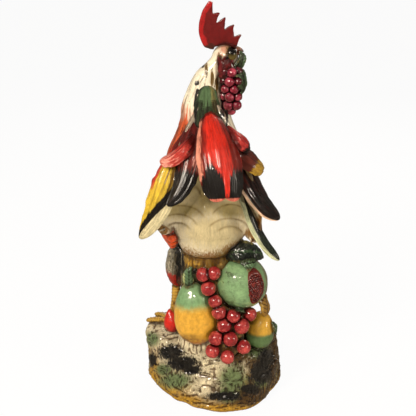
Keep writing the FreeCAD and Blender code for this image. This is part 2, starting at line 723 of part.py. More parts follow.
def pomegranate_middle():
    out = pomegranate_diameter / 2 - pomegranate_press
    return stump_seat(pomegranate_bearing, mound_height + pomegranate_lift, out)


def make_pomegranate():
    radius = pomegranate_diameter / 2
    middle = pomegranate_middle()
    angle = math.radians(seed_window_bearing)
    window = Vector(math.sin(angle), -math.cos(angle), seed_window_rise_share).normalize()
    seeds = egg(middle + window * (radius - seed_bed_depth / 2), seed_window_width / 2, seed_bed_depth,
                seed_window_height / 2, seed_window_bearing)
    ball = Part.makeSphere(radius, middle)
    keep("pomegranate", ball.cut(seeds), "stump", "torso", "mound", "right_thigh", "right_leg", "pear")
    skins["pomegranate"] = [ball]
    pieces["pomegranate_seeds"] = [seeds.common(Part.makeSphere(radius - seed_bed_depth * 0.15, middle))]
    down = Vector(-0.1, -0.62, -0.74).normalize()
    keep("pomegranate_crown", turned_fruit(middle + down * radius, down, crown_height, crown_diameter,
                                           crown_outline_shares), "pomegranate", "stump")


def make_small_fruit():
    foot = mound_height - bite
    belly = stump_seat(small_pear_bearing, foot + small_pear_length * pear_belly_share,
                       small_pear_diameter / 2 - small_pear_press)
    axis = Vector(0.10, 0.12, 1.0).normalize()
    base = belly - axis * (small_pear_length * pear_belly_share)
    keep("small_pear", turned_fruit(base, axis, small_pear_length, small_pear_diameter, pear_outline_shares),
         "mound", "stump", "pomegranate", "right_leg", "right_thigh", "right_toes", "right_spur")
    top = base + axis * (small_pear_length * 0.80)
    top += Vector(small_pear_diameter * 0.36, -small_pear_diameter * 0.18, 0)
    leaf = [top, top + Vector(small_pear_leaf_length * 0.22, -small_pear_leaf_length * 0.08,
                              -small_pear_leaf_length * 0.3),
            top + Vector(small_pear_leaf_length * 0.30, -small_pear_leaf_length * 0.14,
                         -small_pear_leaf_length)]
    keep("small_pear_leaf",
         plate(leaf, small_pear_leaf_width, leaf_thickness, 0.10, leaf_shares, (0.8, -0.6, 0.3)),
         "small_pear", "stump", "pomegranate", "mound")
    belly = stump_seat(plum_bearing, foot + plum_length * pear_belly_share, plum_diameter / 2 - plum_press)
    axis = Vector(-0.14, 0.10, 1.0).normalize()
    base = belly - axis * (plum_length * pear_belly_share)
    keep("plum", turned_fruit(base, axis, plum_length, plum_diameter, plum_outline_shares),
         "mound", "stump", "pear", "left_leg", "left_spur", "left_toes")


# the bunch down the stump: its core's levels (up, across, back, half width, half depth) and its berries'
# middles (across, up, back), in shares of its half width, length and depth
cluster_core_shares = ((1.0, -0.52, -0.10, 0.18, 0.20), (0.88, -0.52, 0.0, 0.26, 0.24),
                       (0.75, -0.42, 0.10, 0.20, 0.24), (0.62, -0.22, 0.22, 0.26, 0.26),
                       (0.50, 0.30, 0.28, 0.62, 0.28), (0.35, 0.30, 0.40, 0.60, 0.32),
                       (0.20, 0.26, 0.50, 0.58, 0.34), (0.08, 0.22, 0.56, 0.50, 0.34),
                       (0.0, 0.10, 0.60, 0.38, 0.30))
cluster_berry_shares = ((-0.72, 0.935, 0.07), (-0.32, 0.96, 0.13), (-0.53, 0.795, 0.27),
                        (-0.28, 0.657, 0.40), (-0.13, 0.543, 0.53), (0.42, 0.506, 0.60),
                        (1.06, 0.478, 0.27), (0.07, 0.405, 0.67), (0.735, 0.393, 0.67),
                        (-0.245, 0.259, 0.77), (0.30, 0.264, 0.87), (0.82, 0.153, 0.80),
                        (-0.377, 0.114, 0.87), (0.19, 0.056, 0.97))


def cluster_point(across, up, back):
    return Vector(cluster_shift + cluster_width / 2 * across, -cluster_back - cluster_depth * back,
                  mound_height + cluster_lift + cluster_length * up)


def make_cluster():
    rows = []
    for up, across, back, wide, deep in cluster_core_shares:
        middle = cluster_point(across, up, back)
        rows.append((middle.z, middle.x, middle.y + cluster_depth * deep * 0.4, cluster_width / 2 * wide,
                     cluster_depth * deep))
    keep("cluster_core", level_loft(rows), "stump", "mound", "pear", "pomegranate", "pomegranate_crown",
         "small_pear", "torso", "pear_stem", "pear_leaf")
    balls = [Part.makeSphere(berry_diameter / 2, cluster_point(*shares), Vector(0, -1, 0))
             for shares in cluster_berry_shares]
    keep_group("cluster_berries", balls, "stump", "mound", "pear", "pomegranate", "pomegranate_crown",
               "small_pear", "torso", "pear_stem", "pear_leaf", "cluster_core")


def make_leaves():
    radius = pomegranate_diameter / 2
    ball = pomegranate_middle()
    root = ball + Vector(-radius * 0.62, radius * 0.1, radius * 0.98)
    leaf = [root, root + Vector(top_leaf_length * 0.28, -top_leaf_length * 0.14, top_leaf_length * 0.24),
            root + Vector(top_leaf_length * 0.66, -top_leaf_length * 0.12, top_leaf_length * 0.22),
            root + Vector(top_leaf_length * 0.94, top_leaf_length * 0.08, top_leaf_length * 0.0)]
    keep("top_leaf", plate(leaf, top_leaf_width, leaf_thickness * 1.4, 0.14, leaf_shares, (0.1, -0.75, 0.65)),
         "torso", "pomegranate", "stump", "cluster_core", "cluster_berries", "right_wing", "right_thigh",
         "right_outer_feather")
    root = ball + Vector(radius * 0.05, radius * 0.05, radius * 1.08)
    leaf = [root,
            root + Vector(crown_leaf_length * 0.12, -crown_leaf_length * 0.42, crown_leaf_length * 0.02),
            root + Vector(crown_leaf_length * 0.16, -crown_leaf_length * 0.80, -crown_leaf_length * 0.30)]
    keep("crown_leaf", plate(leaf, crown_leaf_width, leaf_thickness, 0.12, leaf_shares, (0.0, -0.4, 0.9)),
         "top_leaf", "torso", "pomegranate", "stump", "right_thigh")
    root = ball + Vector(radius * 0.80, radius * 0.2, -radius * 0.25)
    leaf = [root, root + Vector(side_leaf_length * 0.12, -side_leaf_length * 0.05, -side_leaf_length * 0.5),
            root + Vector(side_leaf_length * 0.14, -side_leaf_length * 0.1, -side_leaf_length)]
    keep("side_leaf", plate(leaf, side_leaf_width, leaf_thickness, 0.10, leaf_shares, (1.0, -0.5, 0.0)),
         "pomegranate", "stump", "small_pear", "small_pear_leaf", "mound", "right_leg", "right_thigh",
         "right_toes", "cluster_core", "cluster_berries")


def export(folder="parts"):
    os.makedirs(folder, exist_ok=True)
    for name, solids in sorted(pieces.items()):
        shape = solids[0] if len(solids) == 1 else Part.makeCompound(solids)
        shape.exportStep(os.path.join(folder, name + ".step"))
        sound = all(solid.isValid() and solid.Volume > 0 for solid in solids)
        print(name, len(solids), "solids", round(sum(solid.Volume for solid in solids), 1), "mm3",
              "" if sound else "NOT VALID")


make_mound()
make_torso()
make_stump()
make_neck()
make_head()
make_comb()
make_beak()
make_face()
make_bunch()
make_fan()
make_feathers()
for side in (-1, 1):
    make_wing(side)
    make_leg(side)
make_pear()
make_pomegranate()
make_small_fruit()
make_cluster()
make_leaves()
export()
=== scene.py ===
# %% [markdown]
# # A glazed rooster on a mound of fruit
# The real figure is white clay, pressed and modelled by hand, painted with ceramic colours and covered
# with a clear, very glossy glaze. It is seen from behind, so the tail fills the middle of the view. The
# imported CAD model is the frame: every skin that is made here starts from one of its nodes or follows the
# same guide lines, so nothing has to be fitted by eye.

# %% Load the frame
import itertools
import math

import bmesh
import bpy
import numpy as np
from mathutils import Matrix, Vector


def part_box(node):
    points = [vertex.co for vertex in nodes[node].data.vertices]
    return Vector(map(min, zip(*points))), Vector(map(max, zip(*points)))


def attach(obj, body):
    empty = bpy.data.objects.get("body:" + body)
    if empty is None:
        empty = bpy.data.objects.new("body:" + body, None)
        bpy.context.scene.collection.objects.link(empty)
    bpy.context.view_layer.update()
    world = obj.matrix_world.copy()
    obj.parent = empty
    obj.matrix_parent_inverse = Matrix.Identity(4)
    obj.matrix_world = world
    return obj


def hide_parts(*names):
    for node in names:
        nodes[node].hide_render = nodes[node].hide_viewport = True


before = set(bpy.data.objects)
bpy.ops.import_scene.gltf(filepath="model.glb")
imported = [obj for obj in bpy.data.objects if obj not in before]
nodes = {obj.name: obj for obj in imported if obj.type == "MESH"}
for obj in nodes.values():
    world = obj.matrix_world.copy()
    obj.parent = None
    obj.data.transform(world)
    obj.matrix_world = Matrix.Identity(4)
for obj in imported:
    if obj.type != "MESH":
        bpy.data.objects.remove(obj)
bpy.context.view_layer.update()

MM = 0.001

# %% [markdown]
# ## Camera
# The camera comes first, because it decides how much detail each piece needs. The photograph looks down
# on the figure by about 20 degrees from 80 cm behind the tail, so the mound's round foot shows as a
# curve. One pixel is a little over a millimetre on the figure, and nothing finer than that can show.

# %% Set the camera
eye_distance_mm = 800
eye_tilt_deg = 69.64  # 90 looks level and less looks down
lens_mm = 60.9

eye = bpy.data.objects.new("camera", bpy.data.cameras.new("camera"))
bpy.context.scene.collection.objects.link(eye)
eye.location = (-7 * MM, -eye_distance_mm * MM, 540 * MM)
eye.rotation_euler = (math.radians(eye_tilt_deg), 0, 0)
eye.data.sensor_width = 36
eye.data.lens = lens_mm
bpy.context.scene.camera = eye
bpy.context.scene.view_settings.view_transform = "Standard"
eye_turn = np.array(eye.rotation_euler.to_matrix())
print("camera set, lens", round(eye.data.lens, 2), "mm")

# %% [markdown]
# ## Skins of clay
# A CAD solid has crisp edges and even faces. Hand-pressed clay has neither. The way from one to the other
# is a voxel remesh: it covers any number of touching solids with one even skin of small squares. A few
# rounds of smoothing soften the joins, as a wet sponge does, and the squares can then be pushed in and
# out point by point for the sculpted relief. Numpy moves a hundred thousand points at once, so all relief
# is written as formulas.

# %% Read meshes as arrays
def read_points(mesh):
    flat = np.empty(len(mesh.vertices) * 3)
    mesh.vertices.foreach_get("co", flat)
    return flat.reshape(-1, 3)


def read_quads(mesh):
    flat = np.empty(len(mesh.loops), dtype=np.int32)
    mesh.loops.foreach_get("vertex_index", flat)
    return flat.reshape(-1, 4).astype(np.int64)


def spread_to(index, values, count):
    """Adds values up at the points that index names, column by column."""
    return np.stack([np.bincount(index, column, count) for column in values.T], axis=1)


def normals_of(points, quads):
    """Unit normals at the points of a skin of squares."""
    one_way = points[quads[:, 2]] - points[quads[:, 0]]
    other_way = points[quads[:, 3]] - points[quads[:, 1]]
    cross = np.cross(one_way, other_way)
    total = spread_to(quads.ravel(), np.repeat(cross, 4, axis=0), len(points))
    return total / np.maximum(np.linalg.norm(total, axis=1), 1e-12)[:, None]


def neighbours_of(quads, count):
    """A function that gives the mean place of each point's neighbours along the squares' edges."""
    here = quads.ravel()
    beside = np.roll(quads, -1, axis=1).ravel()
    number = np.bincount(here, minlength=count) + np.bincount(beside, minlength=count)

    def mean_beside(points):
        total = spread_to(here, points[beside], count) + spread_to(beside, points[here], count)
        return total / np.maximum(number, 1)[:, None]

    return mean_beside


def hollows_of(points, quads, out, rounds=5):
    """How deep each point lies in a groove, in mm: the way back to the skin once it is sponged smooth."""
    mean_beside = neighbours_of(quads, len(points))
    even = points
    for _ in range(rounds):
        even = mean_beside(even)
    return ((even - points) * out).sum(axis=1) / MM


def sponge(points, quads, share, rounds):
    """Smooths the points by their share, 0 for none and 1 for fully, and leaves the rest where it is."""
    mean_beside = neighbours_of(quads, len(points))
    for _ in range(rounds):
        points = points + (mean_beside(points) - points) * (0.8 * share)[:, None]
    return points


# %% Keep the outer skin only
def outer_skin(points, quads):
    """Drops the walls of closed hollows: of all the separate sheets, the one with the most faces stays."""
    label = np.arange(len(points))
    while True:
        low = label[quads].min(axis=1)
        new = label.copy()
        for corner in range(4):
            np.minimum.at(new, quads[:, corner], low)
        new = new[new]
        if (new == label).all():
            break
        label = new
    names, counts = np.unique(label[quads[:, 0]], return_counts=True)
    keep = label == names[counts.argmax()]
    index = np.cumsum(keep) - 1
    return points[keep], index[quads[keep[quads[:, 0]]]]


# %% Cover CAD nodes with one skin
coarse = 1.0


def skin_over(names, voxel_mm, rounds, plugs=()):
    """Points and squares of one skin over the named nodes.

    A plug shuts a hole with a rod, whose x, y, lower end, upper end and radius are in mm.
    """
    lump = bmesh.new()
    for name in names:
        lump.from_mesh(nodes[name].data)
    bmesh.ops.remove_doubles(lump, verts=lump.verts, dist=0.001 * MM)
    for x, y, low, high, radius in plugs:
        place = Matrix.Translation((x * MM, y * MM, (low + high) / 2 * MM))
        bmesh.ops.create_cone(lump, cap_ends=True, segments=48, radius1=radius * MM, radius2=radius * MM,
                              depth=(high - low) * MM, matrix=place)
    mesh = bpy.data.meshes.new("rough skin")
    lump.to_mesh(mesh)
    lump.free()
    rough = bpy.data.objects.new("rough skin", mesh)
    bpy.context.scene.collection.objects.link(rough)
    net = rough.modifiers.new("net", "REMESH")
    net.mode = "VOXEL"
    net.voxel_size = voxel_mm * MM * coarse
    even = rough.modifiers.new("even", "SMOOTH")
    even.factor = 0.5
    even.iterations = rounds
    ready = bpy.data.meshes.new_from_object(rough.evaluated_get(bpy.context.evaluated_depsgraph_get()))
    points, quads = outer_skin(read_points(ready), read_quads(ready))
    bpy.data.objects.remove(rough)
    bpy.data.meshes.remove(mesh)
    bpy.data.meshes.remove(ready)
    return points, quads


# %% Turn arrays into a piece of the figure
made = []


def add_piece(name, points, faces, stands_for, material, paint=None, flow=None, groove_mm=0.5):
    """Makes the object, gives it its painted areas as attributes, and ties it to the frame."""
    paint = dict(paint or {})
    # the deeper a point lies in a groove, the more brown wash and painted shade it gets
    depth = hollows_of(points, faces, normals_of(points, faces)) / groove_mm
    paint["hollow"] = paint.get("hollow", 0) + np.clip(depth, -0.3, 1)
    mesh = bpy.data.meshes.new(name)
    mesh.from_pydata([tuple(p) for p in points.tolist()], [], [tuple(f) for f in faces.tolist()])
    mesh.polygons.foreach_set("use_smooth", [True] * len(mesh.polygons))
    for area, values in paint.items():
        layer = mesh.attributes.new(area, "FLOAT", "POINT")
        layer.data.foreach_set("value", np.clip(values, 0.0, 1.0).astype(np.float32))
    if flow is not None:
        layer = mesh.attributes.new("flow", "FLOAT_VECTOR", "POINT")
        layer.data.foreach_set("vector", flow.astype(np.float32).ravel())
    mesh.materials.append(material)
    piece = bpy.data.objects.new(name, mesh)
    bpy.context.scene.collection.objects.link(piece)
    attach(piece, "root")
    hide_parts(*stands_for)
    made.append(piece)
    print(name, len(points), "points")
    return piece


# %% Soft steps, brush marks and noise
def step(values, low, high):
    """0 below low, 1 above high and smooth between. low may be the larger one."""
    part = np.clip((values - low) / (high - low), 0.0, 1.0)
    return part * part * (3 - 2 * part)


def as_seen(points):
    """Where points lie in the view: mm across and up from its middle, at the distance of the figure."""
    local = (points - np.array(eye.location)) @ eye_turn
    scale = eye_distance_mm / -local[:, 2]
    return local[:, 0] * scale, local[:, 1] * scale


def facing_eye(points, out):
    """1 where the skin faces the camera and 0 where it is turned away."""
    return step(((np.array(eye.location) - points) * out).sum(axis=1), -0.08, 0.2)


def marks(points, out, spots):
    """Brush marks placed as seen by the camera. A spot is (across, up, half width, half height) in mm."""
    across, high = as_seen(points)
    best = np.zeros(len(points))
    for x, y, wide, tall in spots:
        best = np.maximum(best, 1.5 - np.hypot((across - x) / wide, (high - y) / tall))
    return np.clip(best, 0, 1) * facing_eye(points, out)


def lumps(points, size_mm, seed=0):
    """Smooth noise from -1 to 1 whose lumps are about size_mm wide. size_mm may differ for x, y and z."""
    spot = points / (np.asarray(size_mm) * MM) + seed * 7.31
    cell = np.floor(spot)
    part = spot - cell
    part = part * part * (3 - 2 * part)
    total = np.zeros(len(points))
    for corner in itertools.product((0, 1), repeat=3):
        key = (cell + corner) @ np.array((12.9898, 78.233, 37.719)) + seed * 3.7
        value = np.mod(np.sin(key) * 43758.5453, 1.0)
        weight = np.prod(np.where(corner, part, 1 - part), axis=1)
        total += value * weight
    return total * 2 - 1


def crags(points, size_mm, seed=0):
    """Sharp-edged noise from 0 in the cracks to 1 on the faces, at three sizes."""
    total = 0
    for k, share in enumerate((0.55, 0.3, 0.15)):
        noise = lumps(points, np.asarray(size_mm) / 2 ** k, seed + k)
        total = total + share * np.minimum(1, 1.9 * np.abs(noise))
    return total


# %% [markdown]
# ## Painted glaze
# The colours are brushed on the raw clay, a thin brown wash is wiped into the hollows, and a clear glaze
# goes over everything. The same darkening in hollows and joints is also painted shade, the shade that
# falls there. So one recipe serves for every piece: a ground colour, painted areas with brushed edges, the
# wash with its painted shade, and a clear coat. The areas are attributes of the mesh, computed from
# formulas. A noise that is stretched along the brush's path breaks their edges up into strokes. Colours
# are written as sRGB hex, the way they look, and one function turns them into the linear values that the
# renderer works with.

# %% Colour and node helpers
def colour(code):
    """An sRGB hex value as linear red, green, blue and alpha."""
    parts = [int(code[i:i + 2], 16) / 255 for i in (0, 2, 4)]
    return [p / 12.92 if p <= 0.04045 else ((p + 0.055) / 1.055) ** 2.4 for p in parts] + [1.0]


def add(tree, kind, settings=None, links=None):
    """Adds a node. settings set its properties, or its inputs by name or number. links feed its inputs."""
    node = tree.nodes.new(kind)
    for key, value in (settings or {}).items():
        if isinstance(key, str) and hasattr(node, key):
            setattr(node, key, value)
        else:
            node.inputs[key].default_value = value
    for key, source in (links or {}).items():
        tree.links.new(source, node.inputs[key])
    return node


# %% Brush strokes and uneven coats
def brush_strokes(tree, brush_mm, by_flow):
    """Places stretched along the brush, the strokes it leaves, -0.5 to 0.5, and thick and thin clouds."""
    here = add(tree, "ShaderNodeTexCoord").outputs["Object"]
    path = here
    if by_flow:
        path = add(tree, "ShaderNodeAttribute", {"attribute_name": "flow"}).outputs["Vector"]
    stretch = add(tree, "ShaderNodeMapping", {"Scale": [1 / (s * MM) for s in brush_mm]}, {"Vector": path})
    hairs = add(tree, "ShaderNodeTexNoise",
                {"Scale": 1.0, "Detail": 5.0, "Roughness": 0.65, "Distortion": 0.5},
                {"Vector": stretch.outputs[0]})
    strokes = add(tree, "ShaderNodeMapRange",
                  {"From Min": 0.3, "From Max": 0.7, "To Min": -0.5, "To Max": 0.5},
                  {"Value": hairs.outputs["Fac"]})
    clouds = add(tree, "ShaderNodeTexNoise", {"Scale": 95.0, "Detail": 6.0, "Roughness": 0.7},
                 {"Vector": here})
    return here, stretch.outputs[0], strokes.outputs[0], clouds.outputs["Fac"]


# %% Painted areas with brushed edges
def painted_areas(tree, ground, areas, strokes):
    """The colour of the ground with its areas painted over it, one after another."""
    paint = None
    for code, area, broken, soft in areas:
        spread = add(tree, "ShaderNodeAttribute", {"attribute_name": area}).outputs["Fac"]
        # the strokes move the edge only: they have no pull where the area is fully painted or fully bare
        left = add(tree, "ShaderNodeMath", {"operation": "SUBTRACT", 0: 1.0}, {1: spread})
        pull = add(tree, "ShaderNodeMath", {"operation": "MULTIPLY"}, {0: spread, 1: left.outputs[0]})
        pull = add(tree, "ShaderNodeMath", {"operation": "MULTIPLY", 1: 4 * broken}, {0: pull.outputs[0]})
        edge = add(tree, "ShaderNodeMath", {"operation": "MULTIPLY_ADD"},
                   {0: strokes, 1: pull.outputs[0], 2: spread})
        mask = add(tree, "ShaderNodeMapRange",
                   {"interpolation_type": "SMOOTHSTEP", "From Min": 0.5 - soft, "From Max": 0.5 + soft},
                   {"Value": edge.outputs[0]})
        mix = add(tree, "ShaderNodeMix", {"data_type": "RGBA", 6: colour(ground), 7: colour(code)},
                  {0: mask.outputs[0]})
        if paint is not None:
            tree.links.new(paint, mix.inputs[6])
        paint = mix.outputs[2]
    return paint


# %% Brown wash and painted shade in hollows, and scratches
def wash_and_shade_marks(tree, stretch, strokes, wash_shade_share, lines):
    """How much wash and painted shade lie on each place, and the thin scratches by themselves."""
    hollow = add(tree, "ShaderNodeAttribute", {"attribute_name": "hollow"}).outputs["Fac"]
    pooled = add(tree, "ShaderNodeMath", {"operation": "MULTIPLY_ADD", 1: 0.35}, {0: strokes, 2: hollow})
    wash_shade_level = add(tree, "ShaderNodeMapRange", {"From Min": 0.12, "From Max": 0.8, "To Max": wash_shade_share},
                {"Value": pooled.outputs[0]})
    finer = add(tree, "ShaderNodeTexNoise",
                {"Scale": 1.9, "Detail": 3.0, "Roughness": 0.6, "Distortion": 1.2}, {"Vector": stretch})
    fold = add(tree, "ShaderNodeMath", {"operation": "SUBTRACT", 1: 0.5}, {0: finer.outputs["Fac"]})
    fold = add(tree, "ShaderNodeMath", {"operation": "ABSOLUTE"}, {0: fold.outputs[0]})
    scratch = add(tree, "ShaderNodeMapRange",
                  {"From Min": 0.0, "From Max": 0.035, "To Min": lines, "To Max": 0.0},
                  {"Value": fold.outputs[0]})
    dark = add(tree, "ShaderNodeMath", {"operation": "MAXIMUM"},
               {0: wash_shade_level.outputs[0], 1: scratch.outputs[0]})
    return dark.outputs[0], scratch.outputs[0]


def hatching(tree, here, clouds, dark, hatched):
    """Adds the fine crossing lines that stiff bristles leave, thick here and sparse there."""
    thick = add(tree, "ShaderNodeMapRange", {"From Min": 0.42, "From Max": 0.58, "To Max": hatched},
                {"Value": clouds})
    for turn in (0.9, -0.5):
        bristles = add(tree, "ShaderNodeMapping", {"Rotation": (0.3, turn, 0.4), "Scale": (430, 430, 130)},
                       {"Vector": here})
        hair = add(tree, "ShaderNodeTexNoise",
                   {"Scale": 1.0, "Detail": 4.0, "Roughness": 0.65, "Distortion": 1.6},
                   {"Vector": bristles.outputs[0]})
        line = add(tree, "ShaderNodeMapRange", {"From Min": 0.53, "From Max": 0.66},
                   {"Value": hair.outputs["Fac"], "To Max": thick.outputs[0]})
        both = add(tree, "ShaderNodeMath", {"operation": "MAXIMUM"}, {0: dark, 1: line.outputs[0]})
        dark = both.outputs[0]
    return dark


# %% The glaze recipe
def glaze(name, ground, areas=(), brush_mm=(2.5, 2.5, 16), by_flow=False, tone=0.22, wash_shade_colour="6a4422",
          wash_shade_share=0.9, lines=0.35, rough=0.3, coat=0.8, relief_mm=0.3, hatched=0.0):
    """areas are (sRGB hex, attribute, how far the strokes break its edge, how soft the edge is)."""
    material = bpy.data.materials.new(name)
    material.use_nodes = True
    tree = material.node_tree
    shader = tree.nodes["Principled BSDF"]
    here, stretch, strokes, clouds = brush_strokes(tree, brush_mm, by_flow)
    paint = painted_areas(tree, ground, areas, strokes)
    # uneven coats: lighter where the brush ran dry, darker where the colour pooled
    mottle = add(tree, "ShaderNodeMath", {"operation": "MULTIPLY_ADD", 1: 0.6}, {0: strokes, 2: clouds})
    level = add(tree, "ShaderNodeMapRange",
                {"From Min": 0.2, "From Max": 0.8, "To Min": 1 - tone, "To Max": 1 + tone},
                {"Value": mottle.outputs[0]})
    uneven = add(tree, "ShaderNodeHueSaturation", {"Color": colour(ground)}, {"Value": level.outputs[0]})
    if paint is not None:
        tree.links.new(paint, uneven.inputs["Color"])
    dark, scratch = wash_and_shade_marks(tree, stretch, strokes, wash_shade_share, lines)
    if hatched:
        dark = hatching(tree, here, clouds, dark, hatched)
    # the wash colour darkens hollows and joints: brown wash and painted shade together
    washed_and_shaded = add(tree, "ShaderNodeMix", {"data_type": "RGBA", "blend_type": "MULTIPLY", 7: colour(wash_shade_colour)},
                 {0: dark, 6: uneven.outputs[0]})
    tree.links.new(washed_and_shaded.outputs[2], shader.inputs["Base Color"])
    height = add(tree, "ShaderNodeMath", {"operation": "SUBTRACT"}, {0: mottle.outputs[0], 1: scratch})
    bump = add(tree, "ShaderNodeBump", {"Strength": 0.8, "Distance": relief_mm * MM},
               {"Height": height.outputs[0]})
    tree.links.new(bump.outputs[0], shader.inputs["Normal"])
    sheen = add(tree, "ShaderNodeMapRange", {"To Min": rough * 0.7, "To Max": rough * 1.3},
                {"Value": clouds})
    tree.links.new(sheen.outputs[0], shader.inputs["Roughness"])
    # fired clay and glass glaze both bend light by about 1.5, and the coat carries most of the shine
    shader.inputs["IOR"].default_value = 1.5
    shader.inputs["Specular IOR Level"].default_value = 0.25
    shader.inputs["Coat Weight"].default_value = coat
    shader.inputs["Coat Roughness"].default_value = 0.09
    shader.inputs["Coat IOR"].default_value = 1.5
    return material


# %% [markdown]
# ## The bird's body
# Trunk, neck, head and the cream shell under the tail were luted together and sponged until no seam was
# left, so they get one skin. Its relief is low: long hackle tufts down the neck, and on the tail's
# underside the scratched arcs of the feathers that spring from a middle ridge.

# %% Cover the body
body_nodes = ["torso", "tail_fan", "neck", "head"]
flue_plug = (2, -15, 178, 204, 21)
body_points, body_quads = skin_over(body_nodes, 1.25, 14, [flue_plug])
body_out = normals_of(body_points, body_quads)
# the folds where trunk, neck and tail meet were filled and sponged until they ran smoothly
fold = step(hollows_of(body_points, body_quads, body_out, 25), 0.1, 0.6)
fold = fold * step(body_points[:, 2] / MM, 340, 300)
fold = sponge(fold[:, None], body_quads, np.ones(len(fold)), 14)[:, 0]
body_points = sponge(body_points, body_quads, np.clip(fold * 2.5, 0, 1), 110)
body_out = normals_of(body_points, body_quads)
print("body skin:", len(body_quads), "squares")

# %% Hackles of the neck
# height, x and y of the neck's middle line, in mm
neck_line = np.array(((245, -6, 22), (270, -8, 23), (292, -9, 27), (313, -9, 28), (331, -9, 29),
                      (349, -9, 29), (370, -10, 28), (394, -6, 26), (410, 0, 25), (420, 8, 24)))


def round_neck(points):
    """Angle round the neck's middle line, in radians."""
    up = points[:, 2] / MM
    x = points[:, 0] / MM - np.interp(up, neck_line[:, 0], neck_line[:, 1])
    y = points[:, 1] / MM - np.interp(up, neck_line[:, 0], neck_line[:, 2])
    return np.arctan2(y, x)


def round_and_up(points):
    """Places on the neck unrolled: mm round it and mm up, so that a noise runs down the neck in strands."""
    return np.stack([round_neck(points) * 26 * MM, 0 * points[:, 0], points[:, 2]], axis=1)


def hackles(points, count=13, row_mm=46.0):
    """Overlapping lance-shaped tufts: 0 in the grooves, 1 at a tuft's raised tip."""
    angle = round_neck(points)
    best = np.zeros(len(points))
    for row in range(2):
        down = (430 - points[:, 2] / MM) / row_mm + row * 0.5
        along = np.mod(down + 0.2 * np.sin(angle * 5 + row), 1.0)
        across = np.mod(angle / (2 * math.pi) * count + row * 0.5, 1.0) * 2 - 1
        width = np.clip(1.08 - along ** 2.6, 0.05, 1.0)
        tuft = np.clip(1 - np.abs(across / width) ** 2.2, 0, 1) * (0.35 + 0.65 * along)
        best = np.maximum(best, tuft)
    return best


up = body_points[:, 2] / MM
back_mm = body_points[:, 1] / MM
off_tail = step(back_mm, -30, -22)
on_nape = step(up, 268, 300)
on_breast = 0.45 * step(up, 205, 250) * step(back_mm, 15, 30)
on_neck = step(up, 412, 396) * off_tail * np.maximum(on_nape, on_breast)
tufts = hackles(body_points)
strands = lumps(round_and_up(body_points), (4.2, 9, 52), 6)
neck_relief = on_neck * ((tufts - 0.45) * 1.7 + 1.1 * strands)
print("tufts reach", round(float(neck_relief.max()), 2), "mm")

# %% Arcs and ridge under the tail
# each arc is the upper half of an ellipse seen from behind: middle across and up, half width, half height
tail_arcs = ((-35, -27, 24, 20), (-32, -22, 32, 25), (24, -28, 24, 16), (26, -14, 22, 18),
             (-34, -30, 15, 13), (25, -30, 14, 9), (-16, 2, 10, 22))
arc_mm = 1.5
ridge_across = -3.4
seen_across, seen_up = as_seen(body_points)
facing_back = step(body_out[:, 1], -0.15, -0.5) * step(back_mm, -20, -28) * step(up, 350, 330)
arc_line = np.zeros(len(body_points))
for x, z, wide, tall in tail_arcs:
    ring = np.hypot((seen_across - x) / wide, (seen_up - z) / tall) - 1
    near = np.exp(-(ring * min(wide, tall) / arc_mm) ** 2)
    arc_line = np.maximum(arc_line, near * step((seen_up - z) / tall, 0.2, 0.6))
for lean in (-0.16, -0.07, 0.03, 0.12):
    middle = ridge_across + lean * (seen_up + 22) + 2.5 * np.sin(seen_up / 9)
    near = 0.5 * np.exp(-((seen_across - middle) / 0.8) ** 2)
    arc_line = np.maximum(arc_line, near * step(seen_up, -24, -8) * step(seen_up, 36, 20))
arc_line = arc_line * facing_back
ridge = np.exp(-((seen_across - ridge_across) / 6) ** 2) * step(seen_up, -26, -8) * facing_back
rump_foot = facing_back * step(seen_up, -34, -52) * step(np.abs(seen_across + 4), 34, 20)
rump_side = step(seen_up, -16, -32) * step(np.abs(seen_across + 2), 16, 32) * step(back_mm, -24, -40)
print("arcs drawn:", len(tail_arcs))

# %% Push the body's relief out
soft = 0.4 * lumps(body_points, 26, 3) + 0.25 * lumps(body_points, 9, 4) + 0.12 * lumps(body_points, 4, 8)
socket = marks(body_points, body_out, [(29, 177, 6.5, 5)])
cheek = marks(body_points, body_out, [(17, 172, 8, 9)])
nape = step(-body_out[:, 0], 0.2, 0.8) * step(up, 345, 365) * step(up, 415, 400) * off_tail
body_relief = neck_relief - 0.3 * arc_line + 1.8 * ridge + soft - 0.8 * socket + 0.6 * cheek
body_relief += 7 * rump_foot + 4.5 * rump_side * step(up, 180, 192) + 3.0 * nape
body_points = body_points + body_out * (body_relief * MM)[:, None]
# the shell's lower left corner was pressed up, so that the wing shows under it
corner = np.exp(-((seen_across + 55) ** 2 + (seen_up + 34) ** 2) / 12 ** 2)
body_points[:, 2] += corner * 12 * MM
print("body relief from", round(float(body_relief.min()), 1), "to", round(float(body_relief.max()), 1), "mm")

# %% Paint the body
def on_body(*spots):
    return marks(body_points, body_out, spots)


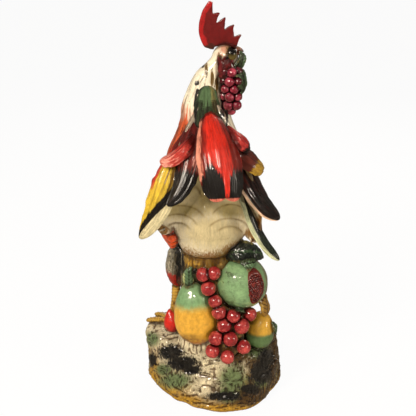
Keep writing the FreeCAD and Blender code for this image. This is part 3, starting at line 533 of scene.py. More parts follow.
low_neck = step(up, 380, 335) * step(up, 262, 290) * off_tail
streak = 0.5 + 0.5 * lumps(round_and_up(body_points), (3.2, 9, 30), 16)
# painted shade: the tail's back-facing underside is painted darker, more so towards the feathers above and
# on the middle of the rump, which faces the lamp
rump_extra_shade = np.maximum(step(seen_up, -26, 8), on_body((6, -28, 30, 18)))
tail_shade = np.maximum(step(seen_up, -8, 34), on_body((-3, 22, 10, 26), (26, -2, 20, 9), (-34, -2, 22, 8)))
body_paint = {
    "hollow": 0.55 * on_neck * step(tufts, 0.30, 0.04) + 0.25 * step(up, 200, 188),
    "arc": 0.58 * arc_line,
    "straw": facing_back * step(seen_up - 0.010 * (seen_across + 4) ** 2, -40, -52) * 0.85,
    "orange": low_neck * (0.25 + 0.55 * step(seen_across, 0, -36)) + 0.3 * on_body((-32, 88, 14, 40)),
    "brown": 0.75 * low_neck * streak * step(seen_across, 12, -20),
    # painted shade on the underside of the tail
    "khaki": facing_back * (0.42 + 0.55 * rump_extra_shade),
    "shade": facing_back * tail_shade * 0.8,
    # the long black mark at -14 across and 114 up is painted shadow where the crest feather meets the neck;
    # the other black marks are brush marks and the eye
    "black": on_body((-7, 162, 3.2, 2.6), (-12.5, 142, 2.8, 2.8), (-12, 132.5, 2.4, 3),
                     (-14, 114, 2.2, 20), (17, 118, 2.2, 22), (21.5, 112, 1.8, 24), (14.5, 98, 1.6, 14),
                     (26.7, 178, 4.2, 6.4), (23, 170, 3, 3)),
    "olive": on_body((-2, 157, 1.8, 9), (4.5, 147, 2.2, 11), (13, 168, 3, 8), (10, 140, 1.8, 10),
                     (25.7, 177.5, 5.5, 7.5), (22, 188, 8, 3)),
    "red": on_body((20, 167, 5.5, 6), (15, 160, 3.5, 8)),
    "rose": on_body((20, 181, 7, 6), (31, 183, 7, 4), (14, 173, 4, 4), (10, 188, 4, 3), (-30, 112, 4, 12)),
}
# opaque cream slip under clear glaze: warm and calm, with brown strokes only where the brush stopped;
# the tail's underside and the crest's foot carry painted shade and shadow
cream_body = glaze("cream painted glaze", "efe7d0", [
    ("c3b48a", "khaki", 0.5, 0.45), ("a3935f", "shade", 0.5, 0.5), ("86703f", "arc", 0.1, 0.5),
    ("7f5822", "straw", 1.0, 0.4), ("cf5a30", "orange", 0.95, 0.22), ("67341a", "brown", 1.0, 0.12),
    ("c39078", "rose", 0.9, 0.4), ("6b5228", "olive", 0.9, 0.35), ("6e1418", "red", 0.6, 0.25),
    ("17110c", "black", 0.7, 0.18)],
    brush_mm=(1.7, 1.7, 15), wash_shade_colour="5a3514", wash_shade_share=0.9, relief_mm=0.3, lines=0.22)
add_piece("bird_body", body_points, body_quads, body_nodes, cream_body, body_paint)

# %% [markdown]
# ## Tail feathers
# Each tail feather is a strip of clay, bowed across, with a soft rim, a middle quill and strokes combed
# along it with a wooden tool. Its shape follows a rule, so it is built as a grid: one direction runs
# along the guide line of the CAD feather, the other goes once round the section. The two numbers that
# place a point on the strip, along and across, also carry the paint: tips, edges and streaks are formulas
# of them.

# %% Guide lines of the tail
# a run's points are shares of the tail: 0 is its root, and 1 is 80 mm right, 90 mm back and 150 mm down
tail_hub = np.array((-6.0, -24.0, 384.0))
tail_size = np.array((80.0, -90.0, -150.0))
feather_mm = 110.0


def guide_line(run, count):
    """Points and unit directions along a smooth line through the run."""
    knots = tail_hub + np.array(run) * tail_size
    way = np.concatenate(([0], np.cumsum(np.linalg.norm(np.diff(knots, axis=0), axis=1))))
    way /= way[-1]
    power = np.vander(way, len(knots), increasing=True)
    factors = np.linalg.solve(power, knots)
    at = np.linspace(0, 1, count)
    line = np.vander(at, len(knots), increasing=True) @ factors
    ahead = np.gradient(line, axis=0)
    return line, ahead / np.linalg.norm(ahead, axis=1)[:, None]


# %% Build one feather
def feather(run, width, outline, bow, facing, thickness=6.0, tip=None, combed=1.3, ragged=0.06, seed=1,
            rows=200, turns=120):
    """Points, quads, the along and across number of each point, and its place on the unrolled strip.

    bow is the section's height over its width, facing the way the top looks, and combed the depth of the
    combed lines in mm. tip(across) shortens the end for lobes.
    """
    line, ahead = guide_line(run, 400)
    turn = np.linspace(0, 2 * math.pi, turns, endpoint=False)
    reach = np.ones(turns) if tip is None else np.array([tip(a) for a in np.cos(turn)])
    end, across = np.meshgrid(1 - (1 - np.linspace(0, 1, rows)) ** 1.4, np.cos(turn), indexing="ij")
    side = np.broadcast_to(np.sin(turn), end.shape)
    at = end * reach
    pick = at * (len(line) - 1)
    middle = np.stack([np.interp(pick, np.arange(len(line)), line[:, k]) for k in range(3)], axis=-1)
    forward = np.stack([np.interp(pick, np.arange(len(line)), ahead[:, k]) for k in range(3)], axis=-1)
    sideways = np.cross(forward, np.asarray(facing, dtype=float))
    sideways /= np.linalg.norm(sideways, axis=-1, keepdims=True)
    outward = np.cross(sideways, forward)
    half = width / 2 * np.interp(at, np.linspace(0, 1, len(outline)), outline)
    if tip is None:
        half = half * np.sqrt(np.clip(1 - np.clip((end - 0.88) / 0.12, 0, 1) ** 2, 0, 1))
    flow = np.stack([across * width / 2, at * feather_mm, np.zeros_like(at)], axis=-1) * MM
    flow = flow.reshape(-1, 3)
    rim_path = np.stack([np.sign(across) * 9, at * feather_mm, 0 * at], axis=-1).reshape(-1, 3) * MM
    half = half * (1 + ragged * lumps(rim_path, (4, 5, 4), seed).reshape(at.shape) * np.abs(across) ** 3)
    closing = np.sqrt(np.clip(1 - end ** 10, 0, 1)) * np.sqrt(np.clip(end * 25, 0, 1))
    flat = thickness / 2 * np.abs(side) ** 1.1 * np.sign(side) * closing
    combing = 0.65 * lumps(flow, (3.4, 46, 5), seed + 3) + 0.35 * lumps(flow, (1.7, 26, 5), seed + 5)
    combing = combing.reshape(at.shape)
    quill = np.exp(-(across / 0.09) ** 2) * (1 - at) ** 0.4
    relief = (combed * combing + 0.7 * quill) * np.clip(side * 3, -0.4, 1) * closing
    rise = bow * 2 * half * (1 - across ** 2) - thickness / 2
    points = middle + sideways * (across * half)[..., None] + outward * (rise + flat + relief)[..., None]
    ring = np.arange(turns)
    first = np.arange(rows - 1)[:, None] * turns
    quads = np.stack([first + ring, first + (ring + 1) % turns, first + turns + (ring + 1) % turns,
                      first + turns + ring], axis=-1).reshape(-1, 4)
    info = {"along": at.ravel(), "across": -across.ravel(), "top": side.ravel()}
    return points.reshape(-1, 3) * MM, quads, info, flow


def close_ends(piece):
    """Joins the two rims of each end, which meet edge to edge, and turns all faces outwards."""
    shape = bmesh.new()
    shape.from_mesh(piece.data)
    bmesh.ops.remove_doubles(shape, verts=shape.verts, dist=0.02 * MM)
    bmesh.ops.holes_fill(shape, edges=[e for e in shape.edges if e.is_boundary], sides=0)
    bmesh.ops.recalc_face_normals(shape, faces=shape.faces)
    shape.to_mesh(piece.data)
    shape.free()


# %% Outlines and runs
# an outline is the feather's width from root to tip, as shares of its greatest width
long_outline = (0.50, 0.78, 0.95, 1.0, 0.94, 0.78, 0.60)
short_outline = (0.55, 0.85, 1.0, 0.98, 0.85, 0.62)
blunt_outline = (0.30, 0.42, 0.60, 0.80, 0.95, 1.0, 0.90, 0.82)
hidden_outline = (0.15, 0.25, 0.60, 0.95, 1.0, 0.85, 0.62)
slim_outline = (0.20, 0.36, 0.72, 1.0, 0.94, 0.70, 0.38)
crest_outline = (0.90, 1.0, 0.99, 0.88, 0.72, 0.52)
hook_outline = (0.26, 0.50, 0.84, 1.0, 0.90, 0.66, 0.38)


def two_lobes(across):
    """The middle feather ends in two lobes with a small notch between, a little right of its middle."""
    middle, half = (0.46, 0.56) if across > -0.06 else (-0.54, 0.50)
    off = (across - middle) / half
    depth = 0.05 if abs(across) < abs(middle) else 0.16
    return 1 - depth * (1 - math.sqrt(max(0.0, 1 - off * off)))


feather_plans = {
    "crest_feather": dict(
        run=((-0.02, 0.32, 0.19), (-0.02, 0.22, 0.10), (-0.02, 0.10, 0.02), (-0.02, 0.0, -0.085)),
        width=31, outline=crest_outline, bow=0.20, facing=(0.0, -1.0, 0.35), seed=11),
    "middle_feather": dict(
        run=((-0.01, 0.04, 0.10), (0.03, 0.38, 0.13), (0.135, 0.74, 0.35), (0.20, 0.94, 0.625)),
        width=48, outline=blunt_outline, bow=0.18, facing=(0.0, -0.5, 0.86), tip=two_lobes,
        thickness=7, combed=1.2, ragged=0.04, seed=12, rows=240, turns=200),
    "left_inner_feather": dict(
        run=((-0.08, 0.08, 0.10), (-0.26, 0.40, 0.28), (-0.35, 0.65, 0.53), (-0.565, 0.79, 0.68)),
        width=34, outline=hook_outline, bow=0.16, facing=(-0.30, -0.65, 0.6), seed=13, combed=1.6),
    "right_inner_feather": dict(
        run=((0.12, 0.06, 0.12), (0.42, 0.26, 0.38), (0.655, 0.52, 0.65), (0.97, 0.70, 0.80)),
        width=30, outline=hidden_outline, bow=0.14, facing=(0.35, -0.6, 0.6), seed=14),
    "left_outer_feather": dict(
        run=((-0.248, 0.156, 0.185), (-0.435, 0.4, 0.357), (-0.65, 0.622, 0.656), (-0.983, 0.622, 0.986)),
        width=33, outline=slim_outline, bow=0.14, facing=(-0.15, -0.8, 0.42), seed=15, combed=1.6),
    "right_outer_feather": dict(
        run=((0.36, 0.20, 0.43), (0.56, 0.32, 0.78), (0.72, 0.42, 0.99), (1.02, 0.53, 1.17)),
        width=24, outline=long_outline, bow=0.14, facing=(0.8, -0.4, 0.35), seed=16),
    "left_upper_feather": dict(
        run=((-0.176, 0.311, 0.221), (-0.307, 0.511, 0.294), (-0.477, 0.622, 0.356), (-0.683, 0.556, 0.39)),
        width=18, outline=short_outline, bow=0.22, facing=(-0.35, -0.75, 0.55), seed=17,
        thickness=9, combed=1.6, ragged=0.1),
    "right_upper_feather": dict(
        run=((0.245, 0.333, 0.181), (0.348, 0.489, 0.216), (0.452, 0.567, 0.255), (0.558, 0.511, 0.327)),
        width=17, outline=short_outline, bow=0.22, facing=(0.35, -0.75, 0.55), seed=18,
        thickness=8, combed=1.6, ragged=0.1),
    "right_side_feather": dict(
        run=((0.289, 0.311, 0.296), (0.461, 0.467, 0.361), (0.597, 0.489, 0.417), (0.764, 0.4, 0.486)),
        width=25, outline=short_outline, bow=0.18, facing=(0.3, -0.7, 0.6), seed=19, thickness=8),
}

# %% Glazes of the tail
# deep opaque colours brushed along each feather: glossy, and streaked where the comb left its lines
brush = dict(brush_mm=(1.5, 15, 4), by_flow=True, wash_shade_colour="4a1d10", relief_mm=0.6, tone=0.35, lines=0.35,
             coat=0.42)
tail_glazes = {
    "crest_feather": glaze("green feather glaze", "56704c", [
        ("2b3a24", "dark", 1.0, 0.3), ("7c7443", "pale", 1.0, 0.3)], **brush),
    "middle_feather": glaze("scarlet feather glaze", "d32a1a", [
        ("76190f", "dark", 1.0, 0.25), ("dd8d76", "pale", 1.0, 0.2), ("14100e", "black", 0.9, 0.1),
        ("d0705c", "rim", 0.6, 0.2)], **brush),
    # the grey strip down the black tip is a painted highlight: the sheen of the glossy black
    "left_inner_feather": glaze("dark red feather glaze", "7a2a20", [
        ("b23a36", "dark", 1.0, 0.2), ("d9998a", "pale", 1.0, 0.14), ("14100f", "black", 0.9, 0.16),
        ("5d4a42", "rim", 1.0, 0.2)], **brush),
    "right_inner_feather": glaze("wine feather glaze", "521b12", [
        ("14100e", "black", 1.0, 0.2), ("d9b79a", "pale", 0.4, 0.2)], **brush),
    "left_outer_feather": glaze("yellow feather glaze", "dcb93a", [
        ("b3321f", "dark", 1.0, 0.15), ("16110d", "black", 1.0, 0.12),
        ("d9cda2", "pale", 0.4, 0.2)], **brush),
    "right_outer_feather": glaze("bottle green feather glaze", "1a2318", [
        ("41563a", "dark", 1.0, 0.25), ("c6caa2", "pale", 0.4, 0.2)], **brush),
    "left_upper_feather": glaze("rose feather glaze", "c23a32", [
        ("e79a8a", "pale", 1.0, 0.2), ("7d1a14", "dark", 1.0, 0.2)], **brush),
    "right_upper_feather": glaze("crimson feather glaze", "941c1c", [
        ("c8443c", "pale", 1.0, 0.25), ("17100e", "black", 0.8, 0.15)], **brush),
    "right_side_feather": glaze("umber feather glaze", "5a1f13", [
        ("b08a2e", "yellow", 0.8, 0.15), ("15100d", "black", 0.8, 0.15)], **brush),
}
print("tail glazes:", len(tail_glazes))

# %% Where the colours lie on each feather
def lobe_start(s):
    """Where the black of the middle feather's lobes begins: a flame on each, and a red strip between."""
    start = np.where(s < 0.08, 0.66 + 0.15 * np.abs((s + 0.48) / 0.5) ** 1.3, 0.80 - 0.08 * s)
    return start + (0.95 - start) * step(np.abs(s - 0.17), 0.18, 0.09)


def yellow_edge(a):
    """How far across the yellow of the left outer feather reaches: it narrows towards the tip."""
    return np.interp(a, (0.45, 0.60, 0.75, 0.90, 1.0), (0.75, 0.25, -0.30, -0.72, -0.95))


# each entry turns a, from 0 at the root to 1 at the tip, and s, from -1 left to 1 right, into painted areas
feather_paint = {
    "crest_feather": lambda a, s: {
        "dark": 0.8 * step(s, 0.45, 1.0) + 0.55 * step(s, -0.7, -1.0) + 0.3 * step(a, 0.75, 1.0),
        "pale": 0.75 * step(np.abs(s + 0.55), 0.4, 0.05) * step(a, 0.1, 0.4)},
    "middle_feather": lambda a, s: {
        "dark": np.maximum.reduce([0.95 * step(s, 0.10, 0.75), 0.85 * step(s, -0.30, -0.80),
                                   0.4 * step(a, 0.25, 0.0)]),
        "pale": 0.8 * step(s, -0.62, -0.95) * step(a, 0.88, 0.76) * step(a, 0.1, 0.25),
        "black": step(a - lobe_start(s), -0.10, 0.10),
        # on the middle feather this area is the pale red edge of the lobes' tips
        "rim": step(a, 0.95, 0.99)},
    "left_inner_feather": lambda a, s: {
        "dark": 0.6 * step(a, 0.72, 0.4),
        "pale": 0.75 * step(s, 0.2, 0.9) * step(a, 0.75, 0.55),
        "black": step(a, 0.48, 0.78),
        # painted highlight: a grey streak down the middle of the black tip
        "rim": 0.3 * step(a, 0.45, 0.75) * step(np.abs(s), 0.7, 0.1)},
    "right_inner_feather": lambda a, s: {
        "black": 0.75 * step(a, 0.35, 0.8),
        "pale": step(s, -0.80, -0.95) * step(a, 0.3, 0.5)},
    "left_outer_feather": lambda a, s: {
        "dark": np.maximum(step(a, 0.46, 0.22), 0.8 * step(s, -0.40, -0.95) * step(a, 0.75, 0.5)),
        "black": 0.25 * step(a, 0.3, 0.6)
        + 0.75 * step(s - yellow_edge(a), -0.12, 0.15) * step(a, 0.38, 0.5),
        "pale": step(s - yellow_edge(a), 0.45, 0.62) * step(a, 0.42, 0.6)},
    "right_outer_feather": lambda a, s: {
        "dark": 0.7 * step(a, 0.5, 0.1),
        "pale": step(s, -0.62, -0.8)},
    "left_upper_feather": lambda a, s: {
        "pale": 0.25 + 0.35 * step(a, 0.5, 0.9),
        "dark": 0.9 * step(a, 0.6, 0.2)},
    "right_upper_feather": lambda a, s: {
        "pale": 0.4 + 0 * a,
        "black": step(a, 0.72, 0.92)},
    "right_side_feather": lambda a, s: {
        "yellow": step(a, 0.62, 0.8) * step(s, 0.9, 0.2),
        "black": np.maximum(step(a, 0.9, 0.98), 0.7 * step(s, 0.3, 0.9))},
}

# %% Make the nine feathers
for name, plan in feather_plans.items():
    points, quads, info, flow = feather(**plan)
    paint = feather_paint[name](info["along"], info["across"])
    # the underside of each feather is painted darker, as painted shade under it; the root gets wash and
    # painted shade where it meets the body
    paint["hollow"] = 0.5 * step(info["top"], 0.0, -0.6) + 0.35 * step(info["along"], 0.14, 0.0)
    slot = "leaf_glaze" if name == "crest_feather" else "feather_glaze"
    piece = add_piece("tail_" + name, points, quads, [name], tail_glazes[name], paint, flow)
    close_ends(piece)

# %% [markdown]
# ## Rock and stump
# The mound was beaten with a stick and scratched while the clay was wet. Its relief is a noise with sharp
# cracks at three sizes. The same noise tells the brown wash and its painted shade where to pool, and round
# patches of black, green and ochre glaze lie over it. The stump above it is combed upwards like straw.

# %% Cover and carve the mound
vent_plug = (0, 40, -1, 8, 9)
stump_plug = (2, -15, 178, 204, 19)
rock_points, rock_quads = skin_over(["mound", "stump"], 1.3, 5, [vent_plug, stump_plug])
rock_out = normals_of(rock_points, rock_quads)
height = rock_points[:, 2] / MM
on_stump = step(height, 75, 86)
bent = rock_points + np.stack([lumps(rock_points, 15, k) for k in (81, 82, 83)], axis=1) * 5 * MM
rock_crags = crags(bent, (19, 19, 12), 31)
hatch = 1 - np.abs(lumps(bent, (3.2, 3.2, 9), 32)) * 1.6
cross_hatch = 1 - np.abs(lumps(bent, (9, 9, 2.8), 33)) * 1.6
straw = 1 - np.abs(lumps(rock_points, (3.4, 3.4, 24), 37)) * 1.7
scratched = np.where(lumps(rock_points, 17, 39) > 0, hatch, cross_hatch)
rock_relief = (rock_crags - 0.55) * 3.4 + (scratched - 0.5) * 1.3
carving = (1 - on_stump) * rock_relief + on_stump * (straw - 0.4) * 1.5
carving += 0.8 * lumps(rock_points, 34, 35)
carving *= step(height, 0.5, 7)
rock_points = rock_points + rock_out * (carving * MM)[:, None]
rock_points[:, 2] = np.maximum(rock_points[:, 2], 0)
print("carving from", round(float(carving.min()), 1), "to", round(float(carving.max()), 1), "mm")

# %% Paint the rock
def on_rock(*spots):
    return marks(rock_points, rock_out, spots)


# what the camera sees follows the photograph, and the rest gets quieter patches from noise
unseen = 1 - facing_eye(rock_points, rock_out)
patch = lumps(rock_points, (30, 30, 22), 44)
stump_lines = 0.8 * step(straw, 0.55, 0.0)
rock_cracks = 0.4 * step(scratched, 0.40, -0.1) + 0.4 * step(rock_crags, 0.4, 0.1)
cream_spots = on_rock((-26, -150, 42, 22), (-30, -168, 36, 22), (2, -176, 22, 20), (30, -180, 22, 14),
                      (-58, -140, 16, 18), (8, -204, 30, 14), (-20, -192, 26, 10), (-4, -110, 9, 30))
ochre_spots = on_rock((-62, -192, 7, 22), (-48, -208, 14, 9), (-30, -219, 22, 6), (12, -229, 40, 5),
                      (64, -112, 8, 18))
green_spots = on_rock((-64, -149, 9, 8), (-37, -196, 18, 10), (28, -194, 15, 15), (22, -212, 12, 8),
                      (-50, -184, 10, 7), (56, -160, 12, 10), (-22, -78, 8, 10), (60, -196, 8, 8))
black_spots = on_rock((-42, -164, 15, 9), (-29, -176, 18, 9), (-18, -184, 11, 6), (-64, -173, 6, 8),
                      (66, -171, 9, 12), (60, -188, 13, 13), (18, -214, 22, 5), (48, -206, 12, 6),
                      (56, -150, 9, 5), (-31, -62, 4.5, 15))
# the dark patches on the mound's right side and right foot are brown paint and painted shadow together, on
# the side away from the lamp
dark_paint_and_shadow_spots = on_rock((66, -170, 24, 40), (44, -212, 34, 16), (34, -168, 14, 10), (60, -136, 14, 10),
                     (-20, -90, 14, 30), (30, -130, 30, 30))
straw_nest = on_rock((-8, -60, 30, 12))
rock_paint = {
    "hollow": np.where(on_stump > 0.5, stump_lines, rock_cracks),
    "cream": np.maximum(cream_spots, unseen * step(patch, -0.5, 0.3)) * step(height, 3, 14),
    "ochre": np.maximum(ochre_spots, step(height, 9, 2)) + 0.6 * straw_nest,
    "green": np.maximum(green_spots, unseen * step(lumps(rock_points, 26, 46), 0.15, 0.75)),
    "black": np.maximum(black_spots, unseen * step(lumps(rock_points, 24, 48), 0.25, 0.8)),
    "dark": np.maximum(dark_paint_and_shadow_spots, unseen * step(patch, 0.1, -0.5))
    + 0.5 * step(lumps(bent, (9, 9, 6), 91), 0.0, 0.8),
}
# thick clear glaze over scratched clay: every ridge catches a spark, and the cracks stay dark brown with
# wash and painted shade
rock_glaze = glaze("washed rock glaze", "b8985a", [
    ("f2e5c0", "cream", 0.9, 0.4), ("573f1c", "dark", 1.0, 0.45), ("d0a034", "ochre", 0.9, 0.45),
    ("76885a", "green", 0.5, 0.5), ("16130f", "black", 1.0, 0.25)],
    brush_mm=(2.4, 2.4, 5.5), wash_shade_colour="553414", wash_shade_share=0.85, relief_mm=1.3, tone=0.4, lines=0.5, rough=0.2,
    coat=1.0, hatched=0.8)
add_piece("rock_mound", rock_points, rock_quads, ["mound", "stump"], rock_glaze, rock_paint)

# %% [markdown]
# ## Comb, beak and face
# The comb is a thick slab whose round back edge catches the light. It is painted scarlet on that edge and
# a deeper red on its flat face: the scarlet is the glaze thinning on the edge and also painted light, where
# the round edge catches the lamp. The small pieces of the face get finer skins, because their whole size
# is only a few millimetres.

# %% Make the comb
comb_mm = 47
comb_points, comb_quads = skin_over(["comb"], 0.75, 5)
low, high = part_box("comb")
out_share = (comb_points[:, 0] - low[0]) / (high[0] - low[0])
up_share = (comb_points[:, 2] - low[2]) / (high[2] - low[2])
back_edge = np.interp(up_share, (0.0, 0.18, 0.40, 0.75, 1.0), (0.22, 0.06, 0.0, 0.07, 0.28))
from_back = (out_share - back_edge) * comb_mm
comb_out = normals_of(comb_points, comb_quads)
rim_swell = 0.4 * step(from_back, 5, 1)
comb_points = comb_points + comb_out * ((rim_swell + 0.3 * lumps(comb_points, 7, 5)) * MM)[:, None]
# the points of the comb were pinched out and the gaps cut deeper by hand. Each pinch has its place across
# and up as the camera sees it, how far it moves right and up, and how far it spreads, all in mm
pinches = ((11.5, 220, 1.6, 0.8, 2.6), (18, 215, 1.5, 1.0, 2.6), (28, 207.5, 1.8, 1.0, 2.8),
           (36, 196, 1.6, 0.8, 2.8), (10, 214, 0, -2.0, 2.4), (19.5, 206, -1.2, -2.6, 2.4),
           (29.5, 196, -0.5, -1.5, 2.4), (3, 180, 1.0, 5.5, 5.5), (-2, 190, 2.5, 2.0, 6.0),
           (12, 176, -1.0, 3.5, 5.0))
comb_across, comb_up = as_seen(comb_points)
for x, z, right, rise, spread in pinches:
    near = np.exp(-((comb_across - x) ** 2 + (comb_up - z) ** 2) / spread ** 2)
    comb_points = comb_points + near[:, None] * (np.array((right, 0, rise)) * MM)
# painted light, partly: the back rim is painted scarlet where its round edge catches the lamp, over the
# thinner glaze there
comb_paint = {"bright": step(from_back, 6, 2.5), "brown": step(up_share, 0.24, 0.0),
              "hollow": 0.15 * step(from_back, 3, 5) * step(from_back, 9, 6)}
# transparent red glaze over brown: dark where it lies thick on the face, scarlet where it thins on the rim,
# and that scarlet is also painted light on the round edge
comb_glaze = glaze("scarlet comb glaze", "640c0d", [
    ("a01618", "bright", 0.8, 0.45), ("43190f", "brown", 1.0, 0.2)],
    brush_mm=(4, 4, 5), wash_shade_colour="2b0805", relief_mm=0.3, lines=0.25)
add_piece("red_comb", comb_points, comb_quads, ["comb"], comb_glaze, comb_paint)

# %% Make the face
def pulled(points, larger=(1, 1, 1), shift=(0, 0, 0)):
    """Makes a piece larger about its middle and moves it by shift, in mm."""
    middle = (points.max(axis=0) + points.min(axis=0)) / 2
    return middle + (points - middle) * larger + np.array(shift) * MM


# the beak is dull horn, the eye a bead of black glass glaze, and the flaps have a wet, fleshy gloss
face_glazes = {
    # the beak's dark brown underside is painted shade
    "beak": glaze("horn beak glaze", "bd8a76", [("70432f", "dark", 0.9, 0.3)], brush_mm=(3, 1.5, 1.5)),
    "eye": glaze("black eye glaze", "0d0a09", [("62552a", "dark", 0.4, 0.2)], rough=0.2, coat=0.5,
                 relief_mm=0.03, lines=0.0),
    "red": glaze("dark red wattle glaze", "651014", [("a8323c", "pale", 0.9, 0.3)], brush_mm=(2, 2, 5)),
}
face_plans = (
    ("beak", ["upper_beak", "lower_beak"], "ochre_glaze", "beak", 0.45),
    ("right_eye_bead", ["right_eye"], "eye_glaze", "eye", 0.3),
    ("left_eye_bead", ["left_eye"], "eye_glaze", "eye", 0.3),
    ("right_lobe", ["right_earlobe"], "red_glaze", "red", 0.5),
    ("left_lobe", ["left_earlobe"], "red_glaze", "red", 0.5),
    ("right_wattle_flap", ["right_wattle"], "red_glaze", "red", 0.5),
    ("left_wattle_flap", ["left_wattle"], "red_glaze", "red", 0.5))
# the flaps are pulled long and full by hand: how much larger, and how far they move, in mm
face_pulls = {
    "right_earlobe": ((1.3, 1.2, 2.4), (-2.5, -1, -0.5)), "right_wattle": ((1.7, 1.3, 1.4), (-3.5, -5, 8)),
    "right_eye": ((1.5, 1.3, 1.7), (0.8, -0.4, 2.4)), "upper_beak": ((0.85, 1, 1), (-2.5, 0, 6))}
for name, replaced, slot, finish, voxel in face_plans:
    points, quads = skin_over(replaced, voxel, 4)
    out = normals_of(points, quads)
    ripple = lumps(points, 3.2, 9)
    points = points + out * ((0.45 if finish == "red" else 0.08) * ripple * MM)[:, None]
    points = pulled(points, *face_pulls.get(replaced[0], ()))
    # dark lies on the side that faces down: painted shade under the beak, and the olive below the pupil on
    # the eye beads
    paint = {"hollow": 0.5 * step(ripple, 0, -0.8), "pale": 0.4 + 0.5 * ripple,
             "dark": 0.5 - 0.5 * out[:, 2]}
    add_piece(name, points, quads, replaced, face_glazes[finish], paint, groove_mm=0.3)

# %% [markdown]
# ## Fruit
# The pears and the pomegranate are smooth, thick-walled shapes with soft dents. Their colours meet in a
# blurred line, because two wet glazes run into each other there. So their painted areas have soft edges
# and only small strokes.

# %% Soft fruit from CAD nodes
def soft_fruit(name, node, material, voxel, dent_mm, paint, seed, wider=(1, 1, 1), hold=(1, 0, 0),
               moved=(0, 0, 0)):
    """One fruit from the skin of its CAD node, dented and painted.

    wider swells it along x, y and z, away from the side of its box that hold names: 0 low, 1 high. moved
    shifts it along x, y and z, in mm, once it is painted.
    """
    points, quads = skin_over([node], voxel, 6)
    low, high = points.min(axis=0), points.max(axis=0)
    anchor = low + (high - low) * hold
    points = anchor + (points - anchor) * wider
    out = normals_of(points, quads)
    dents = lumps(points, 16, seed) + 0.45 * lumps(points, 6, seed + 1)
    points = points + out * (dent_mm * dents * MM)[:, None]
    low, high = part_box(node)
    share = (points - low) / (np.array(high) - low)
    areas = {"hollow": 0.4 * step(dents, -0.3, -1.3)}
    areas.update(paint(points, share, out))
    return add_piece(name, points + np.array(moved) * MM, quads, [node], material, areas)


# %% Make the pears and the plum
def pear_areas(points, share, out):
    """Green above, a baked foot below, and three bruises on the side that the camera sees."""
    ripe = share[:, 2] - 0.06 * share[:, 0] + 0.02 * lumps(points, 9, 3)
    bruises = marks(points, out, [(-14, -80, 9, 8), (-24, -86, 7, 6), (-22, -148, 16, 5)])
    return {"green": step(ripe, 0.53, 0.80), "foot": step(share[:, 2], 0.30, 0.05),
            "mottle": bruises * 0.6}


def small_pear_areas(points, share, out):
    """Green below and brown at the very foot."""
    return {"green": step(share[:, 2], 0.60, 0.42), "mottle": 0.6 * step(share[:, 2], 0.25, 0.0)}


# warm honey yellow under a clear coat, so the round belly shows one soft bright spot
pear_glaze = glaze("pear glaze", "d8a338", [
    ("769a6c", "green", 0.3, 0.42), ("a86420", "foot", 1.0, 0.4), ("7c5a24", "mottle", 0.6, 0.4)],
    brush_mm=(4, 4, 6), wash_shade_colour="5d3010", relief_mm=0.2, wash_shade_share=0.8, lines=0.2)
soft_fruit("large_pear", "pear", pear_glaze, 0.9, 0.5, pear_areas, 51,
           wider=(1.17, 1.05, 0.96), hold=(1, 0, 1))
# the same honey with a deeper green and more hair lines
small_pear_glaze = glaze("small pear glaze", "cfa03a", [
    ("587346", "green", 0.4, 0.4), ("6a5226", "mottle", 0.8, 0.4)],
    brush_mm=(4, 4, 6), wash_shade_colour="5d3010", relief_mm=0.2, wash_shade_share=0.8, lines=0.25)
soft_fruit("small_pear_fruit", "small_pear", small_pear_glaze, 0.8, 0.5,
           small_pear_areas, 55)
# a clear scarlet, darker towards its foot: the brightest red on the mound
plum_glaze = glaze("scarlet plum glaze", "cc2216", [("86130e", "dark", 1.0, 0.2)], brush_mm=(4, 4, 6),
                   wash_shade_colour="300a05")
soft_fruit("red_plum", "plum", plum_glaze, 0.6, 0.6,
           lambda points, share, out: {"dark": step(share[:, 2], 0.6, 0.0)}, 57,
           wider=(1.12, 1.12, 0.92), hold=(0.4, 1, 1), moved=(0, 4, 4))

# %% Make the pomegranate
# dull sage with yellow and dark green mottles, so that the rind looks leathery beside the wet seeds
rind_glaze = glaze("pomegranate rind glaze", "7c9e70", [
    ("98a766", "yellow", 1.0, 0.35), ("45543a", "mottle", 1.0, 0.2), ("6b2018", "lip", 0.5, 0.35)],
    brush_mm=(7, 7, 7), wash_shade_colour="33301a", relief_mm=0.3, lines=0.25, tone=0.35)
rind_low, rind_high = (np.array(corner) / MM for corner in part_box("pomegranate"))
rind_radius = 31.0
ball_middle = np.array((rind_high[0] - rind_radius, rind_low[1] + rind_radius, rind_high[2] - rind_radius))
print("pomegranate middle in mm:", ball_middle.round(1))
# the photograph shows rind, calyx, seeds and crown leaf this much higher than their CAD nodes
raised_mm = 5.5
# the window looks back and to the right, and it is twice as high as wide
window_turn = math.radians(33)
window_half_mm = (10.5, 21.0)
look = np.array((math.sin(window_turn), -math.cos(window_turn), 0.2))
look /= np.linalg.norm(look)
wide = np.array((math.cos(window_turn), math.sin(window_turn), 0.0))
tall = np.cross(wide, look)


def in_window(points):
    """How far points lie from the seed window's middle: 1 on its rim."""
    away = points / MM - ball_middle - look * rind_radius
    return np.hypot(away @ wide / window_half_mm[0], away @ tall / window_half_mm[1])


def rind_areas(points, share, out):
    """Yellow low and left, mottled, red on the window's torn rim, and red with painted shade right of it."""
    # painted shade: right of the window the red-brown is torn rind and also the shade on the rind's far side
    right_side_shade = 0.45 * step((points / MM - ball_middle) @ wide, 12, 17)
    return {"yellow": 0.45 * step(share[:, 2], 0.5, 0.1) + 0.45 * step(share[:, 0], 0.25, 0.0),
            "mottle": 0.24 + 0.35 * lumps(points, 12, 4),
            "lip": np.maximum(step(in_window(points), 1.14, 1.0), right_side_shade)}


